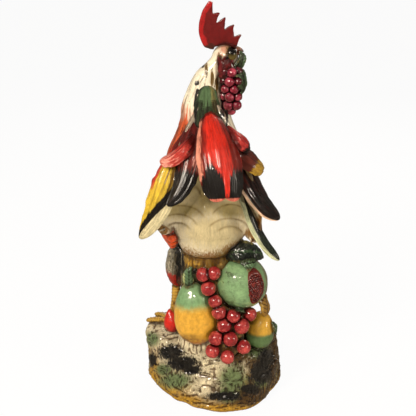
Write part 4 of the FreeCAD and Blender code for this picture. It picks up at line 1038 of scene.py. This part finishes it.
soft_fruit("pomegranate_rind", "pomegranate", rind_glaze, 0.85, 0.7, rind_areas, 61,
           moved=(0, 0, raised_mm))
soft_fruit("pomegranate_calyx", "pomegranate_crown", rind_glaze, 0.6, 0.3,
           lambda points, share, out: {"mottle": 0.8 + 0 * share[:, 0]}, 63, moved=(0, 0, raised_mm))

# %% [markdown]
# ## Grapes and seeds
# Grapes are rolled one by one and pressed side by side, and the pomegranate's opening is packed with
# seeds. Both repeat, so Geometry Nodes make them: a small tree puts one shape on many points, each a
# little different in size and turn. The result is turned into a plain mesh, because the export doesn't
# keep instances.

# %% Build the grape tree
def tree_input(tree, name, kind, value):
    """Adds a named input with its usual value to a tree, and gives the key that sets it on a modifier."""
    socket = tree.interface.new_socket(name, in_out="INPUT", socket_type=kind)
    socket.default_value = value
    return socket.identifier


def berry_tree(name, material):
    """Puts a round berry with a dimple on each point: how large, how uneven, which seed, how fine a ball."""
    tree = bpy.data.node_groups.new(name, "GeometryNodeTree")
    tree.interface.new_socket("Points", in_out="INPUT", socket_type="NodeSocketGeometry")
    keys = {"size": tree_input(tree, "Berry radius", "NodeSocketFloat", 0.007),
            "uneven": tree_input(tree, "Uneven", "NodeSocketFloat", 0.08),
            "seed": tree_input(tree, "Seed", "NodeSocketInt", 4),
            "segments": tree_input(tree, "Segments", "NodeSocketInt", 40),
            "rings": tree_input(tree, "Rings", "NodeSocketInt", 24)}
    tree.interface.new_socket("Mesh", in_out="OUTPUT", socket_type="NodeSocketGeometry")
    enter = add(tree, "NodeGroupInput")
    ball = add(tree, "GeometryNodeMeshUVSphere", {"Radius": 1.0},
               {"Segments": enter.outputs[4], "Rings": enter.outputs[5]})
    where = add(tree, "GeometryNodeInputPosition")
    dent = add(tree, "ShaderNodeTexNoise", {"Scale": 1.3, "Detail": 1.0}, {"Vector": where.outputs[0]})
    depth = add(tree, "ShaderNodeMapRange", {"To Min": 0.94, "To Max": 1.05}, {"Value": dent.outputs[0]})
    shaped = add(tree, "ShaderNodeVectorMath", {"operation": "SCALE"},
                 {0: where.outputs[0], "Scale": depth.outputs[0]})
    berry = add(tree, "GeometryNodeSetPosition", {}, {"Geometry": ball.outputs["Mesh"],
                                                      "Position": shaped.outputs[0]})
    low = add(tree, "ShaderNodeMath", {"operation": "SUBTRACT", 0: 1.0}, {1: enter.outputs[2]})
    high = add(tree, "ShaderNodeMath", {"operation": "ADD", 0: 1.0}, {1: enter.outputs[2]})
    spread = add(tree, "FunctionNodeRandomValue", {"data_type": "FLOAT"},
                 {2: low.outputs[0], 3: high.outputs[0], "Seed": enter.outputs[3]})
    size = add(tree, "ShaderNodeMath", {"operation": "MULTIPLY"},
               {0: spread.outputs[1], 1: enter.outputs[1]})
    turn = add(tree, "FunctionNodeRandomValue", {"data_type": "FLOAT_VECTOR", 1: (6.28, 6.28, 6.28)},
               {"Seed": enter.outputs[3]})
    put = add(tree, "GeometryNodeInstanceOnPoints", {},
              {"Points": enter.outputs[0], "Instance": berry.outputs[0], "Rotation": turn.outputs[0],
               "Scale": size.outputs[0]})
    real = add(tree, "GeometryNodeRealizeInstances", {}, {0: put.outputs[0]})
    smooth = add(tree, "GeometryNodeSetShadeSmooth", {}, {0: real.outputs[0]})
    dress = add(tree, "GeometryNodeSetMaterial", {"Material": material}, {0: smooth.outputs[0]})
    add(tree, "NodeGroupOutput", {}, {0: dress.outputs[0]})
    return tree, keys


def grow(name, carrier_points, tree, keys, values, replaced):
    """Runs a tree on loose points and turns the result into a plain piece."""
    mesh = bpy.data.meshes.new(name)
    mesh.from_pydata([tuple(p) for p in carrier_points], [], [])
    piece = bpy.data.objects.new(name, mesh)
    bpy.context.scene.collection.objects.link(piece)
    grower = piece.modifiers.new("grow", "NODES")
    grower.node_group = tree
    for key, value in values.items():
        grower[keys[key]] = value
    plain = bpy.data.meshes.new_from_object(piece.evaluated_get(bpy.context.evaluated_depsgraph_get()))
    piece.modifiers.remove(grower)
    piece.data = plain
    bpy.data.meshes.remove(mesh)
    # the wash and painted shade gather where a berry comes close to its neighbours: the second nearest
    # middle is near there
    points = read_points(plain)
    centres = np.array(carrier_points)
    second = np.partition(np.linalg.norm(points[:, None] - centres[None], axis=2), 1, axis=1)[:, 1]
    gap = (second - values["size"]) / values["size"]
    layer = plain.attributes.new("hollow", "FLOAT", "POINT")
    layer.data.foreach_set("value", step(gap, 0.5, 0.0).astype(np.float32))
    bloom = 0.36 + 0.45 * lumps(points, values["size"] / MM * 0.9, 5)
    layer = plain.attributes.new("pale", "FLOAT", "POINT")
    layer.data.foreach_set("value", bloom.astype(np.float32))
    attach(piece, "root")
    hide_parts(*replaced)
    made.append(piece)
    print(name, len(plain.vertices), "points")


# %% Grapes down the stump
# translucent crimson, thick and wet, with a sharp highlight on every grape
grape_glaze = glaze("crimson grape glaze", "8a2024", [("b54642", "pale", 0.8, 0.4)], brush_mm=(5, 5, 5),
                    relief_mm=0.2, tone=0.3, rough=0.22, coat=1.0, wash_shade_colour="30100a", lines=0.25)
grape_tree, grape_keys = berry_tree("grapes on points", grape_glaze)
# a grape's place across, up and back, as shares of the cluster's reach
grape_places = ((-0.72, 0.935, 0.07), (-0.32, 0.96, 0.13), (-0.53, 0.795, 0.27), (-0.28, 0.657, 0.40),
                (-0.13, 0.543, 0.53), (0.42, 0.506, 0.60), (1.06, 0.478, 0.27), (0.07, 0.405, 0.67),
                (0.735, 0.393, 0.67), (-0.245, 0.259, 0.77), (0.30, 0.264, 0.87), (0.82, 0.153, 0.80),
                (-0.377, 0.114, 0.87), (0.19, 0.056, 0.97))
cluster_foot = np.array((10, -50, 78))
cluster_reach = np.array((31, -30, 108))
cluster = [tuple((cluster_foot + cluster_reach * (out, back, up)) * MM) for out, up, back in grape_places]
grow("hanging_grapes", cluster, grape_tree, grape_keys, {"size": 8.9 * MM, "uneven": 0.06, "seed": 4},
     ["cluster_berries"])

# %% Grapes in the beak
# the same wet coat over a bluer red, so that the two bunches tell apart
beak_glaze = glaze("wine grape glaze", "741428", [("ab4054", "pale", 0.8, 0.4)], brush_mm=(5, 5, 5),
                   relief_mm=0.2, tone=0.3, rough=0.22, coat=1.0, wash_shade_colour="260c09", lines=0.25)
beak_tree, beak_keys = berry_tree("grapes in the beak", beak_glaze)
# mm from the middle of one grape to the next, and how much higher than in the CAD the bunch hangs
pitch = 10.3
bunch_raised_mm = 8.5


def ring_places(count, start):
    """Middles of grapes that touch in a ring, in mm from the ring's own middle."""
    radius = 0 if count == 1 else pitch / 2 / math.sin(math.pi / count)
    return [np.array((radius * math.cos(start + 2 * math.pi * i / count),
                      radius * math.sin(start + 2 * math.pi * i / count), 0)) for i in range(count)]


bunch_top = np.array((13 + 31 * 0.24, 24 - 27 * 0.36, 420 - 30 * 0.78))
rings = [ring_places(count, math.radians(36 * i)) for i, count in enumerate((4, 5, 5, 5, 4, 1))]
bunch, fall = [], 0.0
for i, places in enumerate(rings):
    if i:
        near = min(np.linalg.norm(a - b) for a in rings[i - 1] for b in places)
        fall += math.sqrt(max(0.0, pitch ** 2 - near ** 2))
    bunch += [tuple((bunch_top + place + (0, 0, bunch_raised_mm - fall)) * MM) for place in places]
print("beak grapes:", len(bunch), "over", round(fall, 1), "mm")
grow("beak_grapes", bunch, beak_tree, beak_keys, {"size": 5.6 * MM, "uneven": 0.1, "seed": 9},
     ["bunch_berries"])

# %% Seeds of the pomegranate
# dark ruby under a hard coat: many tiny highlights, as on wet seeds
seed_glaze = glaze("ruby seed glaze", "6c1212", [("8e2a1c", "pale", 0.8, 0.4)], brush_mm=(3, 3, 3),
                   relief_mm=0.1, tone=0.35, rough=0.2, coat=1.0, wash_shade_colour="2c0906")
seed_tree, seed_keys = berry_tree("seeds on points", seed_glaze)
seeds = []
seed_pitch = 2.7
seed_bed_half_mm = (10.3, 20.6)
sunk_mm = 2.2
# rows lie a little closer than the seeds in a row, and every second row is shifted by half a seed
for row in range(17):
    for col in range(9):
        u = (col - 4 + 0.5 * (row % 2)) * seed_pitch
        v = (row - 8) * seed_pitch * 0.87
        if (u / seed_bed_half_mm[0]) ** 2 + (v / seed_bed_half_mm[1]) ** 2 < 1:
            depth = math.sqrt(max(0.0, rind_radius ** 2 - u * u - v * v)) - sunk_mm
            seed = ball_middle + wide * u + look * depth + tall * v + (0, 0, raised_mm)
            seeds.append(tuple(seed * MM))
print("seeds:", len(seeds))
seed_values = {"size": 1.9 * MM, "uneven": 0.22, "seed": 3, "segments": 12, "rings": 7}
grow("pomegranate_seed_bed", seeds, seed_tree, seed_keys, seed_values,
     ["pomegranate_seeds"])

# %% [markdown]
# ## Leaves, stems and cores
# Leaves are thin slabs with a pressed midrib. Each is turned into a fine skin, and the two long
# directions of its own shape, found from the spread of its points, tell where the midrib and the side
# veins go.

# %% Make the leaves
def leaf_grid(points):
    """Along and across numbers of a leaf and its flat direction, from the main directions of its points."""
    middle = points.mean(axis=0)
    _, _, ways = np.linalg.svd((points - middle)[::7], full_matrices=False)
    spread = (points - middle) @ ways.T
    long_way = spread[:, 0] / np.abs(spread[:, 0]).max()
    wide_way = spread[:, 1] / np.abs(spread[:, 1]).max()
    return long_way, wide_way, np.cross(ways[0], ways[1])


# leaf glazes are opaque and less wet than the fruit: the veins stay darker where the glaze runs together
leaf_glazes = {
    "sage": glaze("sage leaf glaze", "55724f", [
        ("99a068", "edge", 1.0, 0.2), ("242e1a", "vein", 0.8, 0.2)], brush_mm=(3, 3, 4)),
    "dark": glaze("dark leaf glaze", "151d16", [
        ("6f6a38", "edge", 1.0, 0.15), ("3c5539", "vein", 1.0, 0.2)], brush_mm=(3, 3, 5), relief_mm=0.6),
    "ochre": glaze("ochre leaf glaze", "9a7228", [
        ("4d3315", "vein", 1.0, 0.2), ("c39b48", "edge", 1.0, 0.2)], brush_mm=(3, 3, 9)),
}
# how much larger than its CAD node a leaf is, and how far it moves, in mm, to sit as in the photograph
leaf_pulls = {
    "beak_leaf": ((1.35, 1.2, 1.25), (-2.5, -3, 5)),
    "bunch_leaf": ((1.15, 1.1, 1.1), (-1.5, -3, 9)),
    "bunch_stalk": ((1, 1, 1), (0, 0, 6)),
    "top_leaf": ((1.02, 1, 1.05), (-1, -1, 5)),
    "side_leaf": ((1.5, 1.2, 0.9), (-1.5, -2, 3)),
    "crown_leaf": ((1, 1, 1), (0, 0, raised_mm)),
}
# name, CAD node, glaze, voxel and wave of the rim in mm
leaf_plans = (
    ("dark_leaf", "top_leaf", "dark", 0.7, 1.6),
    ("rind_leaf", "crown_leaf", "sage", 0.6, 1.0),
    ("strip_leaf", "side_leaf", "ochre", 0.6, 0.7),
    ("curled_leaf", "pear_leaf", "sage", 0.55, 0.9),
    ("pear_stalk", "pear_stem", "dark", 0.5, 0.5),
    ("little_leaf", "small_pear_leaf", "sage", 0.45, 0.4),
    ("bunch_side_leaf", "bunch_leaf", "sage", 0.55, 0.7),
    ("beak_side_leaf", "beak_leaf", "sage", 0.45, 0.5),
    ("bunch_stem", "bunch_stalk", "sage", 0.45, 0.3),
)
for name, node, finish, voxel, wave_mm in leaf_plans:
    points, quads = skin_over([node], voxel, 4)
    out = normals_of(points, quads)
    long_way, wide_way, flat_way = leaf_grid(points)
    rib = np.exp(-(wide_way / 0.11) ** 2)
    vein_place = np.mod(long_way * 3.2 - np.abs(wide_way) * 1.4, 1.0) - 0.5
    veins = np.exp(-(vein_place / 0.14) ** 2) * (1 - rib)
    wave = wave_mm * np.sin(long_way * 5 + np.sign(wide_way)) * np.abs(wide_way) ** 1.5
    carve = -0.5 * rib - 0.4 * veins + 0.35 * lumps(points, 6, 21)
    points = points + out * (carve * MM)[:, None] + flat_way * (wave * MM)[:, None]
    points = pulled(points, *leaf_pulls.get(node, ()))
    paint = {"hollow": 0.35 * rib + 0.3 * veins, "vein": 0.8 * rib + 0.55 * veins,
             "edge": step(np.abs(wide_way), 0.45, 1.05)}
    slot = "ochre_glaze" if node == "side_leaf" else "leaf_glaze"
    add_piece(name, points, quads, [node], leaf_glazes[finish], paint, groove_mm=0.35)

# %% Cores behind the grapes
# the lump of clay that the grapes are pressed on: brown, and nearly lost in the dark between them
core_glaze = glaze("brown core glaze", "3c1c10", [("a08040", "dark", 1.0, 0.2)], brush_mm=(3, 3, 3))
for name, node, lifted_mm in (("cluster_back", "cluster_core", 0), ("bunch_back", "bunch_core", 6)):
    points, quads = skin_over([node], 1.0, 4)
    points = pulled(points, shift=(0, 0, lifted_mm))
    paint = {"hollow": 0.5 + 0.5 * lumps(points, 5, 6), "dark": 0.5 + 0.5 * lumps(points, 9, 7)}
    add_piece(name, points, quads, [node], core_glaze, paint)

# %% [markdown]
# ## Wings, thighs and feet
# The wings are thick slabs with three rows of feathers pressed in, and the thighs are shaggy tufts.
# Shanks, spurs and toes are rolls of clay, joined with a wet brush, so each foot gets one skin.

# %% Make the wings
# a hot red that runs to orange at both ends, with a yellow band and a black one across: glossy and streaked
wing_glaze = glaze("painted wing glaze", "c0301e", [
    ("ee5a2c", "orange", 0.9, 0.35), ("c8952b", "yellow", 1.0, 0.2), ("15100d", "black", 1.0, 0.15)],
    brush_mm=(2, 7, 3), wash_shade_colour="1a0a05", relief_mm=0.4, lines=0.4)
for side, sign in (("left", -1), ("right", 1)):
    node = side + "_wing"
    points, quads = skin_over([node], 1.0, 6)
    out = normals_of(points, quads)
    low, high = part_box(node)
    back = (high[1] - points[:, 1]) / (high[1] - low[1])
    drop = (high[2] - points[:, 2]) / (high[2] - low[2])
    # small scales in front, long quills behind
    small = np.zeros(len(points))
    for row in range(2):
        part = np.mod(back * 6 + row * 0.5, 1.0)
        over = np.mod(drop * 7 + row * 0.5, 1.0) * 2 - 1
        scale = np.clip(1 - np.hypot(over, (part - 0.35) * 1.6) ** 3, 0, 1) * (0.5 + part / 2)
        small = np.maximum(small, scale)
    quills = np.abs(np.mod((drop - 0.45 * back) * 6.5 + 0.15 * lumps(points, 12, 7), 1.0) * 2 - 1)
    coverts = step(back, 0.52, 0.44)
    relief = coverts * (small - 0.5) * 1.8 + (1 - coverts) * (quills ** 0.7 - 0.6) * 1.3
    points = points + out * ((relief + 0.7 * lumps(points, 9, 71)) * MM)[:, None]
    # the wing's end is bent 4 mm up and 5 mm away from the body
    points[:, 2] += 4 * MM * step(back, 0.3, 1.0)
    points[:, 0] += sign * 5 * MM * step(back, 0.5, 1.0)
    paint = {
        "hollow": 0.35 * np.where(back < 0.48, step(small, 0.35, 0.05), step(quills, 0.3, 0.05)),
        "yellow": step(back, 0.30, 0.42) * step(back, 0.62, 0.52),
        "black": 0.8 * step(back, 0.55, 0.72) * step(back, 0.84, 0.74),
        "orange": np.maximum(step(back, 0.72, 0.84), 0.75 * step(back, 0.3, 0.1))}
    add_piece(side + "_painted_wing", points, quads, [node], wing_glaze, paint)

# %% Make the thighs
# grey with white and black strands brushed through it, so that the shag reads as feathers
thigh_glaze = glaze("grey thigh glaze", "5a5240", [
    ("d8cfb6", "pale", 1.0, 0.12), ("100e0d", "dark", 1.0, 0.15), ("b3261b", "red", 0.6, 0.2)],
    brush_mm=(2.0, 2.0, 8), wash_shade_colour="120d0a", relief_mm=0.6, lines=0.8)
for side, sign in (("left", -1), ("right", 1)):
    node = side + "_thigh"
    points, quads = skin_over([node], 0.85, 4)
    out = normals_of(points, quads)
    bent = points + lumps(points, 12, 8)[:, None] * 2 * MM
    shag = 1 - np.abs(lumps(bent, (5.5, 5.5, 20), 81)) * 1.7
    fine = lumps(bent, (2.5, 2.5, 9), 84)
    points = points + out * (((shag - 0.4) * 1.9 + 0.5 * fine) * MM)[:, None]
    points = pulled(points, (1.25, 1.12, 1.03), (0, 0, 1))
    low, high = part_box(node)
    low_share = (high[2] - points[:, 2]) / (high[2] - low[2])
    inner_edge, outer_edge = sorted((sign * low[0], sign * high[0]))
    outer = step(sign * points[:, 0], inner_edge, outer_edge)
    paint = {"hollow": step(shag, 0.3, -0.2), "pale": 0.1 + 0.5 * outer, "dark": 0.42 + 0.35 * (1 - outer),
             "red": step(low_share, 0.5, 0.8) * outer}
    add_piece(side + "_shaggy_thigh", points, quads, [node], thigh_glaze, paint)

# %% Make the feet
# mustard yellow with brown rings, where the wash and painted shade settle between the scales
foot_glaze = glaze("yellow foot glaze", "c99f40", [("5f3c14", "dark", 1.0, 0.2)], brush_mm=(2.5, 2.5, 7),
                   wash_shade_colour="3d2208", relief_mm=0.3, lines=0.5)
for side, sign in (("left", -1), ("right", 1)):
    parts = [side + "_leg", side + "_toes", side + "_spur"]
    points, quads = skin_over(parts, 0.75, 5)
    out = normals_of(points, quads)
    height = points[:, 2] / MM
    rings_up = np.sin(height * 2 * math.pi / 4.6) * step(height, 88, 96)
    ankle = np.hypot(points[:, 0] / MM - (-6 + sign * 46), points[:, 1] / MM - 12)
    rings_out = np.sin(ankle * 2 * math.pi / 3.8) * step(height, 92, 86) * step(ankle, 5, 9)
    scales = (rings_up + rings_out) * np.clip(out[:, 2] * 0.6 + 0.7, 0, 1)
    points = points + out * ((0.35 * scales + 0.5 * lumps(points, 7, 93)) * MM)[:, None]
    paint = {"hollow": 0.35 * step(scales, -0.2, -0.9), "dark": 0.35 + 0.4 * lumps(points, 9, 91)}
    add_piece(side + "_foot", points, quads, parts, foot_glaze, paint)

# %% [markdown]
# ## Wash and painted shade in the joints
# The brown wash is wiped off the open faces and stays where one piece meets another, and the same darkening
# is painted shade, the shade that falls between touching pieces. That dark line round every grape and leaf
# is what makes the figure read as one hand-painted thing. To find the joints, all surfaces are sorted into
# small cells of space. A point gets wash and painted shade where the cells round it hold much of other
# pieces.

# %% Let the wash and painted shade run into the joints
def wash_and_shade_joints(pieces, faint, cell_mm=1.7, reach=2, full=0.17):
    """Raises the wash and painted shade of each point by how much of other pieces lies within reach cells of
    it.

    full is the share of filled cells that gives all of it, and the pieces named in faint get less of it.
    """
    cell = cell_mm * MM
    clouds = [read_points(piece.data) for piece in pieces]
    low = np.min([cloud.min(axis=0) for cloud in clouds], axis=0) - (reach + 2) * cell
    size = ((np.max([cloud.max(axis=0) for cloud in clouds], axis=0) - low) / cell).astype(int) + reach + 3
    held = np.zeros(size, dtype=np.float32)
    places = [((cloud - low) / cell).astype(int) for cloud in clouds]
    for spots in places:
        own = np.unique(spots, axis=0)
        held[tuple(own.T)] += 1
    for piece, spots in zip(pieces, places):
        start = spots.min(axis=0) - reach
        end = spots.max(axis=0) + reach + 1
        near = held[start[0]:end[0], start[1]:end[1], start[2]:end[2]].copy()
        near[tuple(np.unique(spots - start, axis=0).T)] -= 1
        for axis in range(3):
            near = sum(np.roll(near, k, axis) for k in range(-reach, reach + 1)) / (2 * reach + 1)
        share = near[tuple((spots - start).T)] / full
        layer = piece.data.attributes["hollow"]
        values = np.empty(len(spots), dtype=np.float32)
        layer.data.foreach_get("value", values)
        strength = 0.25 if piece.name in faint else 0.65
        values = np.clip(values + strength * step(share, 0.15, 1.0), 0, 1)
        layer.data.foreach_set("value", values.astype(np.float32))


# the rind stays clean round the seeds, and wash and painted shade would dull the seeds and the eyes
wash_and_shade_joints(made, faint=("pomegranate_rind", "pomegranate_seed_bed", "right_eye_bead", "left_eye_bead"))
print("wash laid in the joints of", len(made), "pieces")

# %% [markdown]
# ## Room and light
# A pale floor and a white room, as in a catalogue picture. The glaze needs something bright to mirror, so
# two large soft lamps stand left and right, and a small one gives the sharp sparkles on grapes and
# pomegranate.

# %% Lay the floor
floor_shape = bmesh.new()
bmesh.ops.create_grid(floor_shape, x_segments=1, y_segments=1, size=30.0)
floor_mesh = bpy.data.meshes.new("floor")
floor_shape.to_mesh(floor_mesh)
floor_shape.free()
floor = bpy.data.objects.new("floor", floor_mesh)
bpy.context.scene.collection.objects.link(floor)
floor.location = (0, 0, -0.0005)
floor_paint = bpy.data.materials.new("white paper")
floor_paint.use_nodes = True
tree = floor_paint.node_tree
paper = tree.nodes["Principled BSDF"]
paper.inputs["Roughness"].default_value = 0.9
# the eye sees the paper almost burnt out, with only a trace of the shadow left
ray = add(tree, "ShaderNodeLightPath")
glow = add(tree, "ShaderNodeEmission", {"Color": (1, 1, 1, 1), "Strength": 1.0})
part = add(tree, "ShaderNodeMath", {"operation": "MULTIPLY", 1: 0.94}, {0: ray.outputs["Is Camera Ray"]})
grey = add(tree, "ShaderNodeMix", {"data_type": "RGBA", 6: colour("f4f3f0"), 7: colour("7a756c")},
           {0: ray.outputs["Is Glossy Ray"]})
tree.links.new(grey.outputs[2], paper.inputs["Base Color"])
burnt = add(tree, "ShaderNodeMixShader", {}, {0: part.outputs[0], 1: paper.outputs[0], 2: glow.outputs[0]})
tree.links.new(burnt.outputs[0], tree.nodes["Material Output"].inputs["Surface"])
floor_mesh.materials.append(floor_paint)

# %% Light the figure
world = bpy.data.worlds.new("white room")
bpy.context.scene.world = world
world.use_nodes = True
tree = world.node_tree
sky = tree.nodes["Background"]
ray = add(tree, "ShaderNodeLightPath")
# the eye sees white paper, the clay gets soft light, and the glaze mirrors a dim room: its blacks stay black
seen = add(tree, "ShaderNodeMath", {"operation": "MULTIPLY_ADD", 1: 0.6, 2: 0.4},
           {0: ray.outputs["Is Camera Ray"]})
dim = add(tree, "ShaderNodeMath", {"operation": "MULTIPLY", 1: 0.27}, {0: ray.outputs["Is Glossy Ray"]})
left = add(tree, "ShaderNodeMath", {"operation": "SUBTRACT"}, {0: seen.outputs[0], 1: dim.outputs[0]})
tree.links.new(left.outputs[0], sky.inputs["Strength"])
warm = add(tree, "ShaderNodeMix", {"data_type": "RGBA", 6: colour("fff7ea"), 7: (1, 1, 1, 1)},
           {0: ray.outputs["Is Camera Ray"]})
tree.links.new(warm.outputs[2], sky.inputs["Color"])


def lamp(name, place, size, power, target=(0, 0, 0.22)):
    """Hangs a round soft lamp at a place, turned to the middle of the figure. Metres and watts."""
    light = bpy.data.lights.new(name, "AREA")
    light.shape = "DISK"
    light.size = size
    light.energy = power
    light.color = colour("fff2e0")[:3]
    stand = bpy.data.objects.new(name, light)
    bpy.context.scene.collection.objects.link(stand)
    stand.location = place
    stand.rotation_euler = (Vector(target) - Vector(place)).to_track_quat("-Z", "Y").to_euler()


lamp("key lamp", (-0.75, -1.05, 1.15), 0.45, 20)
lamp("side lamp", (1.2, -0.7, 0.6), 0.4, 5)
lamp("back lamp", (0.3, 1.3, 1.1), 0.8, 8)
lamp("spark lamp", (-0.15, -1.2, 1.05), 0.07, 4)
print("lamps set")
